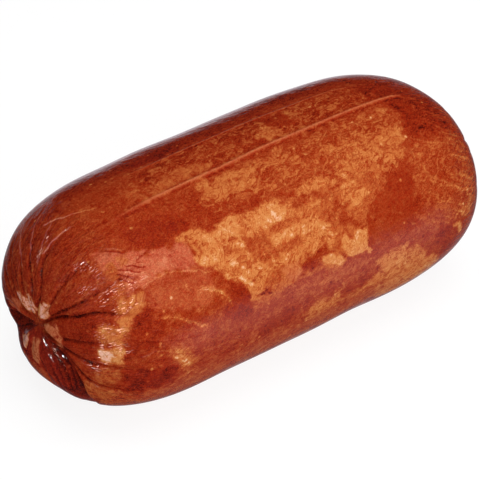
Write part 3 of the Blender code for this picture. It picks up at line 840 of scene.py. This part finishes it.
# Thin lines: change of tone, and the points one runs through. The lines are taken in turn into
# three layers, because within a layer only the nearest line shows.
THIN_LINES = (
    # wrinkles on the near shoulder, raised in the bump: their shade painted dark and their highlights
    # painted pale
    (-0.42, ((-97.5, 36.5), (-94.5, 38.5), (-91, 41))),
    (0.24, ((-111, -16), (-108, -13), (-104, -8), (-101, -6), (-96, -3), (-91, 0.5))),
    (-0.34, ((-101.5, 25), (-99, 27), (-96.5, 29.5))),
    (0.22, ((-99.5, 39), (-96.5, 41), (-93.5, 42.7))),
    (-0.38, ((-101.5, 37), (-98, 39.2), (-94, 41.8))),
    (0.20, ((-120, -4), (-115, -2.2), (-111, -1.5), (-107, -0.5))),
    (0.20, ((-100.5, 23.8), (-98, 25.6), (-96, 27.8))),
    (0.20, ((-97, 43), (-94, 44.5), (-92, 44.5))),
    (-0.44, ((-103.5, 38.5), (-100, 41), (-96, 43.6))),
    (-0.26, ((-91.5, 36.3), (-88, 35.8), (-85, 34.6))),
    (0.18, ((-93, 48.5), (-88, 48), (-82, 48), (-77, 49.5), (-71, 51), (-66, 53.5), (-60, 56))),
    (-0.32, ((-104, 41), (-101, 43), (-98.5, 45.5))),
    # film folds where the near end turns into the top, painted pale as the reflections along them
    (0.12, ((-125, -14), (-122, -19), (-115, -24), (-105, -27))),
    (0.14, ((-127, -24), (-123, -32), (-116, -38), (-106, -42))),
    (0.10, ((-124, -5), (-118, -9), (-110, -12))),
    # strands of fat low on the near half
    (0.13, ((-95, 66), (-91, 68), (-86, 69.5), (-83, 71), (-80, 74), (-76, 76), (-73, 79), (-70, 80))),
    (0.13, ((-70, 62), (-66, 62.5), (-62, 64.5), (-57, 68.5), (-54.5, 72), (-54, 75))),
    (0.12, ((-104, 85), (-98, 84), (-93, 85.5), (-88, 88), (-84, 92), (-80, 98))),
    (0.10, ((-97, 72), (-90, 74), (-84, 78), (-80, 79))),
    (0.10, ((-78, 96), (-70, 94), (-62, 96), (-52, 95))),
    (-0.12, ((-104, 76), (-96, 79), (-86, 82), (-74, 84))),
    # the far end
    (-0.13, ((78, 3.5), (85, 0), (95, -7), (103, -14))),
)
THIN_HALF_WIDTH = 0.48      # mm
THIN_END = 1.2              # mm over which a line fades past its ends
LINE_REACH = (1.8, 2.8)     # mm off a line, between which its change of tone dies away
LINE_LAYERS = 3

# Runs of small folds on the near end, raised in the bump, whose glints are painted on as pale flecks:
# how much they show, half width in mm, and the points each follows, as turn and path
GLINT_RUNS = (
    (0.7, 0.9, ((-7, 39), (-7, 46), (-8, 53))),
    (0.4, 1.8, ((22, 51), (27, 57), (34, 59))),
    (0.7, 1.4, ((36, 45), (37, 52))),
    (0.9, 2.5, ((47, 54), (45, 59), (44, 65), (45, 69))),
    (0.9, 2.2, ((56, 58), (55, 63), (54, 67))),
    (0.6, 2.0, ((63, 48), (64, 53), (68, 57))),
    (0.6, 1.8, ((67, 46), (77, 46))),
    (0.6, 2.0, ((74, 49), (76, 53), (80, 57))),
    (0.9, 1.5, ((92, 39), (91, 43), (88, 47))),
    (0.9, 0.8, ((100, 9), (106, 13), (116, 17), (120, 23))),
)


def lay(layers, patches, across_map, up_map, to_map, share=1.0):
    """Paints each patch over what is there, whole or by a share: its edge is soft over the given
    width, and ragged."""
    for kind, edge, outline in patches:
        depth = depth_inside([to_map(*corner) for corner in outline], across_map, up_map)
        amount = share * smooth_step(depth + 0.5 * edge * ragged, -edge / 3.0, edge / 3.0)
        for layer, value in zip(layers, KINDS[kind]):
            layer += (value - layer) * amount


def stroke(across_map, up_map, run, half_width):
    """1 along a line through the given points, or on one point, fading to 0 at its half width."""
    nearest = np.full(across_map.shape, np.inf)
    for one, other in zip(run, run[1:] or run):
        nearest = np.minimum(nearest, distance_from(one, other, across_map, up_map))
    return np.exp(-((nearest / half_width) ** 2))


def line_field(lines, across_map, up_map):
    """Places by the nearest of some lines: distance to one side of it or the other, distance past
    its ends, and its change of tone, which dies away a few millimetres off. The thin profile is
    worked out from these in the material, so it may be finer than the mesh."""
    nearest = np.full(across_map.shape, np.inf)
    side, past, strength = (np.zeros(across_map.shape) for _ in range(3))
    for change, run in lines:
        for one, other in zip(run, run[1:]):
            (u0, v0), (u1, v1) = one, other
            du, dv = u1 - u0, v1 - v0
            length = np.hypot(du, dv)
            along = ((across_map - u0) * du + (up_map - v0) * dv) / length
            off = ((across_map - u0) * dv - (up_map - v0) * du) / length
            over = np.maximum(np.maximum(-along, along - length), 0.0)
            before_start = (along < 0.0) & (one == run[0])
            at_end = before_start | ((along > length) & (other == run[-1]))
            away = np.hypot(off, over)
            closer = away < nearest
            nearest = np.where(closer, away, nearest)
            side = np.where(closer, np.where(at_end, off, np.sign(off) * away), side)
            past = np.where(closer, np.where(at_end, over, 0.0), past)
            strength = np.where(closer, change, strength)
    return side, past, strength * (1.0 - smooth_step(nearest, *LINE_REACH))


layers = [value + 0.0 * x for value in KINDS["red lean"]]
lay(layers, BODY_PATCHES, map_x + wander_x, map_turn * ARC + wander_y, body_place)
# The back is marbled as the side is, turned end for end and a little round. It comes in below the
# top, and fades again towards the underside and on both ends.
BACK_SHIFT = 9.0            # millimetres along X
BACK_TURN = 6.0
BACK_COMES = (36.0, 46.0)   # degrees down the back
BACK_GOES = (100.0, 118.0)
BACK_ENDS = (0.045, 0.070)  # paths from the nearer gather
on_back = smooth_step(-map_turn, *BACK_COMES) * (1.0 - smooth_step(-map_turn, *BACK_GOES))
on_back = on_back * smooth_step(from_gather, *BACK_ENDS)
lay(layers, BODY_PATCHES, BACK_SHIFT - map_x + wander_y, (BACK_TURN - map_turn) * ARC + wander_x,
    body_place, on_back)
lay(layers, NEAR_PATCHES, np.where(on_near_end, disc_x + END_WANDER * wander_x, OFF_MAP),
    disc_y + END_WANDER * wander_y, end_place)

glint = 0.0 * x
for amount, half_width, run in GLINT_RUNS:
    run = tuple(end_place(*at) for at in run)
    shown = stroke(np.where(on_near_end, disc_x, OFF_MAP), disc_y, run, half_width)
    glint = np.maximum(glint, amount * shown)

# Strokes and lines wander less than the patches do.
stroke_x = map_x + STROKE_WANDER * wander_x
stroke_y = map_turn * ARC + STROKE_WANDER * wander_y
mark = 0.0 * x
for change, half_width, run in BODY_STROKES:
    run = tuple(body_place(*at) for at in run)
    mark += change * stroke(stroke_x, stroke_y, run, half_width)

thin_runs = [(change, tuple(body_place(*at) for at in run)) for change, run in THIN_LINES]
for layer in range(LINE_LAYERS):
    found = line_field(thin_runs[layer::LINE_LAYERS], stroke_x, stroke_y)
    for name, field in zip(("side", "past", "strength"), found):
        store(ham_mesh, f"line_{name}_{layer}", field)

# Pale seams along the top, each with a painted shadow below it as a dark line. A seam's colour comes
# in slowly, from a little before its ridge starts.
SEAM_COMES = (-0.034, 0.022)        # metres from the start of the ridge
SEAM_REACH = 8.0                    # millimetres to each side over which a seam is looked for
SEAM_DIES = (4.0, 7.0)              # millimetres off a seam, between which its mark ends
seam_off = 0.0 * x
seam_amount = 0.0 * x
for seam_height, half_width, start, end, turns in SEAMS:
    seam_turn = np.interp(x, *zip(*turns))
    off = np.radians(turn_apart(turn, seam_turn)) * HALF_WIDTH * MM
    fade = smooth_step(x, start + SEAM_COMES[0], start + SEAM_COMES[1])
    fade = fade * (1.0 - smooth_step(x, end, end + SEAM_FADE))
    seam_off = np.where(np.abs(off) < SEAM_REACH, off / (half_width * MM), seam_off)
    amount = fade * (seam_height / SEAMS[0][0]) * (1.0 - smooth_step(np.abs(off), *SEAM_DIES))
    seam_amount = np.maximum(seam_amount, amount)

# Painted shade: dark lines along the creases, darker where a crease is deeper
FULL_SHADE_DEPTH = 0.0014    # a crease this deep or deeper is marked in full
CREASE_SHADE_HALF_WIDTH = 0.0009
painted_crease_shade = 0.0 * x
for ends_path, sizes in ((path, near_sizes), (back_path, far_sizes)):
    for this, off in ((crease, across * gap), (crease + 1, (1.0 - across) * gap)):
        depth = crease_depth(this, ends_path, sizes[0], sizes[2], sizes[3])
        line = np.exp(-((off / CREASE_SHADE_HALF_WIDTH) ** 2))
        painted_crease_shade = painted_crease_shade + np.clip(depth / FULL_SHADE_DEPTH, 0.0, 1.0) * line

# Streaks and fine pleats of the casing run along the creases, and ripples run across them. The
# streaks are strongest on the ends, and the pleats and ripples where the ends turn into the side.
# Past the body's far third the streaks slant down towards the far end.
FAR_THIRD = 0.066           # where it starts, and where it shows in full, along X
FAR_FULL = 0.086
SLANT = 500.0               # degrees to a metre
BODY_STREAK = 0.35          # strength of the streaks along the body, where 1 is on the ends
STREAK_FADES = (0.045, 0.080)
RIPPLE_GROWS = (0.026, 0.042)
RIPPLE_FADES = (0.056, 0.080)
lap = 2.0 * np.pi * (crease + across) / PLEATS - np.radians(SLANT * np.maximum(x - FAR_THIRD, 0.0))
far_fibres = smooth_step(x, FAR_THIRD, FAR_FULL)
streak = BODY_STREAK + (1.0 - BODY_STREAK) * (1.0 - smooth_step(from_gather, *STREAK_FADES))
ripple = smooth_step(from_gather, *RIPPLE_GROWS) * (1.0 - smooth_step(from_gather, *RIPPLE_FADES))

for name, layer in zip(("fat", "lean_tone", "fat_tone", "pink", "grain"), layers):
    store(ham_mesh, name, layer)
fields = {
    "mark": mark,
    "seam_off": seam_off,
    "seam_amount": seam_amount,
    "painted_crease_shade": painted_crease_shade,
    "streak": streak,
    "ripple": ripple,
    "far_fibres": far_fibres,
    "glint": glint,
    "lap_x": HALF_WIDTH * np.cos(lap),
    "lap_y": HALF_WIDTH * np.sin(lap),
    "run": path,
    "round_x": HALF_WIDTH * np.cos(around),
    "round_y": HALF_WIDTH * np.sin(around),
}
for name, layer in fields.items():
    store(ham_mesh, name, layer)

# Meat colours, from darkest lean to whitest fat
TISSUE = (
    (0.00, (0.055, 0.0050, 0.0030)),
    (0.12, (0.165, 0.0105, 0.0034)),
    (0.25, (0.262, 0.0180, 0.0042)),
    (0.38, (0.305, 0.0320, 0.0070)),
    (0.50, (0.360, 0.0560, 0.0135)),
    (0.62, (0.440, 0.0960, 0.0220)),
    (0.75, (0.530, 0.1560, 0.0390)),
    (0.86, (0.605, 0.2300, 0.0680)),
    (1.00, (0.740, 0.4200, 0.2500)),
)
PINK_TINT = (1.06, 0.94, 2.0)       # what pink meat's colour is multiplied by


def node(tree, kind, inputs=(), **settings):
    """Adds a shader node, sets its fields, and gives each input a value or a link."""
    made = tree.nodes.new(kind)
    for field, value in settings.items():
        setattr(made, field, value)
    for socket, value in dict(inputs).items():
        if isinstance(value, bpy.types.NodeSocket):
            tree.links.new(value, made.inputs[socket])
        else:
            made.inputs[socket].default_value = value
    return made


def maths(tree, operation, *values):
    """A Math node on two or three values or links, and its result."""
    return node(tree, "ShaderNodeMath", enumerate(values), operation=operation).outputs[0]


def mix_colours(tree, factor, first, second):
    """The first colour at factor 0, and the second at factor 1."""
    mixed = node(tree, "ShaderNodeMix", data_type="RGBA")
    for socket, value in ((0, factor), (6, first), (7, second)):
        if isinstance(value, bpy.types.NodeSocket):
            tree.links.new(value, mixed.inputs[socket])
        else:
            mixed.inputs[socket].default_value = value
    return mixed.outputs[2]


smoked = bpy.data.materials.new("smoked_meat_in_casing")
smoked.use_nodes = True
tree = smoked.node_tree
shader = tree.nodes["Principled BSDF"]
place = node(tree, "ShaderNodeTexCoord").outputs["Object"]


def attribute(name):
    """A number that the skin keeps for each vertex."""
    return node(tree, "ShaderNodeAttribute", attribute_name=name).outputs["Fac"]


def noise(scale, detail=3.0, roughness=0.55, distortion=0.0, where=place):
    """A noise's value, which is mostly near a half. Its lumps are about 1 / scale metres apart."""
    made = node(tree, "ShaderNodeTexNoise", {
        "Vector": where, "Scale": scale, "Detail": detail,
        "Roughness": roughness, "Distortion": distortion})
    return made.outputs["Fac"]


def stretched(value, low, high, out_low=0.0, out_high=1.0):
    """Value from low to high, run to out_low to out_high and held there."""
    made = node(tree, "ShaderNodeMapRange", {
        "Value": value, "From Min": low, "From Max": high, "To Min": out_low, "To Max": out_high})
    return made.outputs["Result"]


def times(first, second):
    """The first number times the second."""
    return maths(tree, "MULTIPLY", first, second)


def plus(base, value, share=1.0):
    """The base plus the value times the share."""
    return maths(tree, "MULTIPLY_ADD", value, share, base)


def swung(value, amount, middle):
    """Middle, plus the value's swing about a half times an amount."""
    return maths(tree, "MULTIPLY_ADD", maths(tree, "SUBTRACT", value, 0.5), amount, middle)


def run_between(factor, first, second):
    """The first number at factor 0, and the second at factor 1."""
    made = node(tree, "ShaderNodeMix", {0: factor, 2: first, 3: second}, data_type="FLOAT")
    return made.outputs[0]


def halfway(value, reach):
    """1 where a value is a half, falling evenly to 0 a reach away from it."""
    return stretched(maths(tree, "ABSOLUTE", maths(tree, "SUBTRACT", value, 0.5)), reach, 0.0)


def vector_maths(operation, first, second):
    """A Vector Math node on two vectors, and its vector."""
    made = node(tree, "ShaderNodeVectorMath", {0: first, 1: second}, operation=operation)
    return made.outputs["Vector"]


def scaled(vector, factor):
    """A vector or a colour times one number."""
    made = node(tree, "ShaderNodeVectorMath", {0: vector, "Scale": factor}, operation="SCALE")
    return made.outputs["Vector"]


def vector_of(x_part, y_part, z_part):
    """A vector or a colour made of three numbers."""
    made = node(tree, "ShaderNodeCombineXYZ", {"X": x_part, "Y": y_part, "Z": z_part})
    return made.outputs["Vector"]


def overlaid(base, amount, tint):
    """The base colour plus the tint times the amount."""
    made = node(tree, "ShaderNodeVectorMath", {0: amount, 1: tint, 2: base}, operation="MULTIPLY_ADD")
    return made.outputs["Vector"]


# The grain is drawn out along the log, a little up towards the far end, and swirled.
SWIRL = (0.007, 0.007, 0.007)       # metres
DRAWN_OUT = 0.5                     # how fast the noise runs along X, where 1 is its own speed
DRAWN_UP = -0.2                     # how far it slants along X
swirl = node(tree, "ShaderNodeTexNoise", {"Vector": place, "Scale": 110.0, "Detail": 2.0})
swirl = vector_maths("SUBTRACT", swirl.outputs["Color"], (0.5, 0.5, 0.5))
swirled = vector_maths("ADD", place, vector_maths("MULTIPLY", swirl, SWIRL))
split = node(tree, "ShaderNodeSeparateXYZ", {"Vector": swirled}).outputs
drawn = vector_of(times(split["X"], DRAWN_OUT), plus(split["Y"], split["X"], DRAWN_UP),
                  plus(split["Z"], split["X"], DRAWN_UP))
# Streaks lie along the creases and ripples across them. Pleats and glints lie along the log.
lap_place = vector_of(attribute("lap_x"), attribute("lap_y"), attribute("run"))
along_creases = vector_maths("MULTIPLY", lap_place, (1.0, 1.0, 0.14))
across_creases = vector_maths("MULTIPLY", lap_place, (0.4, 0.4, 1.2))
round_place = vector_of(attribute("round_x"), attribute("round_y"), attribute("run"))
along_pleats = vector_maths("MULTIPLY", round_place, (1.0, 1.0, 0.22))
along_glints = vector_maths("MULTIPLY", round_place, (1.0, 1.0, 0.45))

# Noises of several sizes, each stretched to run from 0 to 1
clouds = stretched(noise(140.0, 7.0, 0.68, 0.8, drawn), 0.32, 0.68)
granules = stretched(noise(330.0, 5.0, 0.66, 1.3, drawn), 0.33, 0.67)
fine = stretched(noise(1100.0, 3.0, 0.6, where=drawn), 0.3, 0.7)
finest = stretched(noise(1500.0, 2.0, 0.7), 0.3, 0.7)
middling = stretched(noise(230.0, 5.0, 0.65), 0.32, 0.68)
broad = stretched(noise(45.0, 3.0, 0.5), 0.32, 0.68)
streaks = stretched(noise(420.0, 4.0, 0.6, where=along_creases), 0.32, 0.68)
FINE_MARBLING = 0.36
marbling = swung(fine, FINE_MARBLING, run_between(attribute("grain"), clouds, granules))
# Thin veins run through the fat, drawn out slantwise up the side, and pale threads run through the
# lean: both are where a noise is halfway.
VEIN_RUN = (0.60, 0.456, 0.656)     # the direction they are drawn out in
VEIN_SQUEEZE = -0.6                 # what is taken off the noise's speed in that direction
VEIN_REACH = 0.035                  # how far from a half the noise may be
THREAD_SHIFT = (0.31, 0.17, 0.23)
up_side = node(tree, "ShaderNodeVectorMath", {0: place, 1: VEIN_RUN}, operation="DOT_PRODUCT")
up_side = scaled(VEIN_RUN, times(up_side.outputs["Value"], VEIN_SQUEEZE))
veins = halfway(noise(240.0, 1.5, 0.5, 1.6, vector_maths("ADD", place, up_side)), VEIN_REACH)
threads = noise(230.0, 1.5, 0.5, 2.0, vector_maths("ADD", drawn, THREAD_SHIFT))
threads = halfway(threads, VEIN_REACH)
# How far each thing moves the tone, where 1 is from the darkest lean to the whitest fat
BROAD_TONE = 0.09
LEAN_TONE = 0.15
FAT_TONE = 0.17
VEIN_TONE = -0.22
THREAD_TONE = 0.15
FINE_TONE = 0.24
FINEST_TONE = 0.22
STREAK_TONE = 0.10
FIBRE_TONE = 0.15
PALE_FLECK_GLINT_TONE = 0.40
DARK_DOT_TONE = -0.20
SEAM_SHADOW_TONE = -0.13
CREASE_SHADE_TONE = -0.21
# Small pale specks, partly fat and partly painted glints, and specks of dark meat lie a few millimetres
# apart.
cells = node(tree, "ShaderNodeTexVoronoi", {"Vector": place, "Scale": 190.0}, voronoi_dimensions="3D")
chance = node(tree, "ShaderNodeSeparateXYZ", {"Vector": cells.outputs["Color"]}).outputs
dot = stretched(cells.outputs["Distance"], 0.20, 0.11)
pale_fleck_and_glint = times(dot, stretched(chance["X"], 0.52, 0.88, 0.0, PALE_FLECK_GLINT_TONE))
pale_fleck_and_glint = times(pale_fleck_and_glint, stretched(attribute("fat"), 0.3, 0.6, 1.0, 0.3))
dark_dot = times(dot, stretched(chance["Y"], 0.66, 0.90, 0.0, DARK_DOT_TONE))
# Fat shows where the marbling is below the share of fat. The level is the tone from 0 to 1.
fat = stretched(maths(tree, "SUBTRACT", attribute("fat"), marbling), -0.15, 0.15)
lean_level = swung(broad, BROAD_TONE, swung(middling, LEAN_TONE, attribute("lean_tone")))
fat_level = swung(middling, FAT_TONE, attribute("fat_tone"))
level = run_between(fat, lean_level, fat_level)
level = plus(level, times(veins, fat), VEIN_TONE)
in_lean = times(maths(tree, "SUBTRACT", 1.0, fat), attribute("grain"))
level = plus(level, times(threads, in_lean), THREAD_TONE)
# Cloudy meat has half the fine grain of granular meat, and fat has half that of lean.
crisp = times(stretched(attribute("grain"), 0.0, 1.0, 0.5, 1.0), stretched(fat, 0.0, 1.0, 1.0, 0.50))
level = swung(fine, times(crisp, FINE_TONE), level)
level = swung(finest, times(crisp, FINEST_TONE), level)
level = swung(streaks, times(attribute("streak"), STREAK_TONE), level)
level = plus(level, times(stretched(streaks, 0.60, 0.95), attribute("far_fibres")), FIBRE_TONE)
level = plus(level, plus(pale_fleck_and_glint, dark_dot))
# The strokes and spots are broken up as the meat round them is.
broken = stretched(noise(620.0, 3.0, 0.6, where=drawn), 0.38, 0.62, 0.3, 1.3)
level = plus(level, attribute("mark"), broken)


def bell(distance, half_width):
    """1 at distance 0, falling off to both sides as a bell."""
    share = maths(tree, "DIVIDE", distance, half_width)
    return maths(tree, "EXPONENT", times(times(share, share), -1.0))


# The thin lines waver from side to side.
LINE_WAVER = 1.5            # mm
lines = 0.0
for layer in range(LINE_LAYERS):
    off_line = swung(middling, LINE_WAVER, attribute(f"line_side_{layer}"))
    thin = bell(off_line, THIN_HALF_WIDTH)
    thin = times(thin, bell(attribute(f"line_past_{layer}"), THIN_END))
    lines = plus(lines, thin, attribute(f"line_strength_{layer}"))
level = plus(level, lines)
# So do the seams, whose sizes here are in half widths of the ridge.
SEAM_WAVER = 0.5
SEAM_PALE_WIDTH = 0.72
SEAM_SHADOW_OFF = 1.5
SEAM_SHADOW_WIDTH = 0.7
SEAM_COVER = 0.88           # how much of the meat's tone the pale line covers
SEAM_LEVEL = 0.72           # the pale line's own tone
SEAM_PINK = 0.5
off_seam = swung(fine, SEAM_WAVER, attribute("seam_off"))
seam_mark = times(bell(off_seam, SEAM_PALE_WIDTH), attribute("seam_amount"))
# Below each seam a dark line is painted as the shadow of its ridge.
seam_shadow = bell(maths(tree, "SUBTRACT", off_seam, SEAM_SHADOW_OFF), SEAM_SHADOW_WIDTH)
level = plus(level, times(seam_shadow, attribute("seam_amount")), SEAM_SHADOW_TONE)
level = run_between(times(seam_mark, SEAM_COVER), level, swung(fine, 0.2, SEAM_LEVEL))
# The painted shade in the creases darkens the tone along them.
level = plus(level, attribute("painted_crease_shade"), CREASE_SHADE_TONE)
pinkness = maths(tree, "MAXIMUM", attribute("pink"), times(seam_mark, SEAM_PINK))
ramp = node(tree, "ShaderNodeValToRGB", {"Fac": level})
while len(ramp.color_ramp.elements) < len(TISSUE):
    ramp.color_ramp.elements.new(0.5)
for element, (at, colour) in zip(ramp.color_ramp.elements, TISSUE):
    element.position = at
    element.color = (*colour, 1.0)
tinted = vector_maths("MULTIPLY", ramp.outputs["Color"], PINK_TINT)
meat = mix_colours(tree, pinkness, ramp.outputs["Color"], tinted)
shade = times(crisp, stretched(fat, 0.0, 1.0, 0.40, 0.20))
meat = scaled(meat, swung(finest, shade, 1.0))
# The lean swings a little between red and orange, and fat less.
WARMTH_SWING = 0.65
warmth = times(stretched(fat, 0.0, 1.0, 1.0, 0.3), WARMTH_SWING)
warmth = swung(stretched(noise(650.0, 5.0, 0.7), 0.3, 0.7), warmth, 1.0)
meat = vector_maths("MULTIPLY", meat, vector_of(1.0, warmth, warmth))
# A fine pale painted sheen, for the light the casing's fine wrinkles catch, lies over it, heavier on
# the ends. Folds of the film there are painted whitish as the reflections along them.
SHEEN_TINT = (1.0, 0.80, 0.95)
painted_sheen = stretched(noise(1300.0, 2.0, 0.6, where=along_pleats), 0.50, 0.80)
painted_sheen = times(painted_sheen, stretched(attribute("streak"), BODY_STREAK, 1.0, 0.002, 0.009))
painted_sheen = times(painted_sheen, stretched(level, 0.12, 0.34))
on_ends = stretched(attribute("streak"), 0.36, 0.90, 0.0, 0.42)
painted_sheen = plus(painted_sheen, times(maths(tree, "MAXIMUM", lines, 0.0), on_ends))
# Short folds in clusters, raised in the bump below: their glints are painted pale onto the colour.
PAINTED_GLINT_TINT = (1.05, 0.72, 0.58)
glints = stretched(noise(1050.0, 1.0, 0.5, where=along_glints), 0.585, 0.67)
glints = times(glints, attribute("glint"))
meat = overlaid(overlaid(meat, painted_sheen, SHEEN_TINT), glints, PAINTED_GLINT_TINT)
tree.links.new(meat, shader.inputs["Base Color"])
shader.inputs["Roughness"].default_value = 0.55
shader.inputs["Specular IOR Level"].default_value = 0.0
shader.inputs["Coat Weight"].default_value = 1.0
shader.inputs["Coat Roughness"].default_value = 0.08
shader.inputs["Coat IOR"].default_value = 1.4
# The casing is drawn into fine pleats and ripples on the ends, and is nearly smooth along the body.
# The shares are of the film's bump.
FINE_PLEAT_SHARE = 2.3
LOW_WAVE_SHARE = 0.8
GLINT_SHARE = 0.6
LINE_SHARE = 1.4
FILM_BUMP = 0.0005          # metres
ripples = noise(420.0, 3.0, 0.6, where=across_creases)
ripples = times(ripples, plus(0.15, attribute("ripple"), 0.7))
pleating = noise(300.0, 3.0, 0.6, where=along_creases)
pleating = times(pleating, stretched(attribute("streak"), 0.3, 1.0, 0.1, 0.5))
fine_pleats = stretched(noise(640.0, 2.0, 0.5, where=along_pleats), 0.50, 0.68)
fine_pleats = times(fine_pleats, times(attribute("ripple"), FINE_PLEAT_SHARE))
height = plus(ripples, pleating)
height = plus(height, noise(230.0, 3.0))
height = plus(height, noise(80.0, 2.0), LOW_WAVE_SHARE)
height = plus(height, fine_pleats)
height = plus(height, glints, GLINT_SHARE)
height = plus(height, lines, LINE_SHARE)
film = node(tree, "ShaderNodeBump", {"Height": height, "Distance": FILM_BUMP, "Strength": 0.6})
tree.links.new(film.outputs["Normal"], shader.inputs["Normal"])
tree.links.new(film.outputs["Normal"], shader.inputs["Coat Normal"])

ham = bpy.data.objects.new("ham_in_casing", ham_mesh)
ham_mesh.materials.append(smoked)
bpy.context.scene.collection.objects.link(ham)
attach(ham, "root")
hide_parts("ham")

# The studio floor
# A plain white table top that runs out past the view on every side. It isn't mirrored in the
# casing: what the casing mirrors is the tent round the table.
FLOOR_HALF = 6.0
floor_mesh = bpy.data.meshes.new("floor")
floor_mesh.from_pydata(
    [(-FLOOR_HALF, -FLOOR_HALF, 0.0), (FLOOR_HALF, -FLOOR_HALF, 0.0),
     (FLOOR_HALF, FLOOR_HALF, 0.0), (-FLOOR_HALF, FLOOR_HALF, 0.0)], [], [(0, 1, 2, 3)])
floor_paint = bpy.data.materials.new("white_table")
floor_paint.use_nodes = True
floor_shader = floor_paint.node_tree.nodes["Principled BSDF"]
floor_shader.inputs["Base Color"].default_value = (0.15, 0.15, 0.15, 1.0)
floor_shader.inputs["Roughness"].default_value = 0.8
floor_shader.inputs["Specular IOR Level"].default_value = 0.0
floor_shader.inputs["Emission Color"].default_value = (1.0, 1.0, 1.0, 1.0)
floor_shader.inputs["Emission Strength"].default_value = 0.88
floor = bpy.data.objects.new("floor", floor_mesh)
floor.visible_glossy = False
floor_mesh.materials.append(floor_paint)
bpy.context.scene.collection.objects.link(floor)

# The light
# Large soft lamps above, in front, at the sides and behind, and two small ones at the left that
# only the casing mirrors, as glints. Round the table stands a tent, which the casing mirrors along
# its edges: dark in front and above, and pale low on the right.
world = bpy.data.worlds.new("tent")
world.use_nodes = True
tent = world.node_tree
outlook = node(tent, "ShaderNodeTexCoord").outputs["Generated"]
direction = node(tent, "ShaderNodeSeparateXYZ", {"Vector": outlook}).outputs


def facing(axis, start, end, out_start=0.0, out_end=1.0):
    """A number run from out_start to out_end as a direction's share of an axis goes from start to
    end, and held there."""
    made = node(tent, "ShaderNodeMapRange", {
        "Value": direction[axis], "From Min": start, "From Max": end,
        "To Min": out_start, "To Max": out_end})
    return made.outputs["Result"]


TENT_DARK = 0.012           # strength of the dark part, and how much more the pale part has
TENT_PALE = 0.75
pale = maths(tent, "MULTIPLY", facing("Z", -0.06, -0.31), facing("X", 0.10, 0.45))
pale = maths(tent, "MULTIPLY", pale, facing("X", 0.55, 0.78, 1.0, 0.08))
pale = maths(tent, "MULTIPLY", pale, facing("Z", -0.80, -0.45, 0.12, 1.0))
glow = maths(tent, "MULTIPLY_ADD", pale, TENT_PALE, TENT_DARK)
tent.links.new(glow, tent.nodes["Background"].inputs["Strength"])
tent.nodes["Background"].inputs["Color"].default_value = (0.96, 0.92, 1.0, 1.0)
bpy.context.scene.world = world


def lamp(name, azimuth, elevation, distance, width, power, mirrored):
    """A square lamp that faces the ham. It is placed as the camera is, by two angles and a
    distance, has a width in metres and a power in watts, and is either mirrored or lights."""
    away = outward(azimuth, elevation)
    data = bpy.data.lights.new(name, "AREA")
    data.size = width
    data.energy = power
    made = bpy.data.objects.new(name, data)
    made.location = AIM + away * distance
    made.rotation_euler = away.to_track_quat("Z", "Y").to_euler()
    made.visible_glossy = mirrored
    made.visible_diffuse = not mirrored
    bpy.context.scene.collection.objects.link(made)


# Name, azimuth, elevation, distance, width, power, and whether the casing mirrors it
lamp("soft_top", 0.0, 80.0, 1.6, 1.4, 20.5, False)
lamp("soft_front", -12.0, 30.0, 1.6, 1.2, 16.2, False)
lamp("soft_right", 55.0, 35.0, 1.6, 1.4, 3.6, False)
lamp("soft_left", -120.0, 35.0, 1.6, 1.4, 1.0, False)
lamp("soft_behind", 150.0, 45.0, 1.6, 1.4, 1.6, False)
lamp("sparkle", -60.0, 45.0, 1.4, 0.045, 4.5, True)
lamp("low_sparkle", -76.0, 10.0, 1.4, 0.03, 0.6, True)
bpy.context.scene.view_settings.view_transform = "Standard"
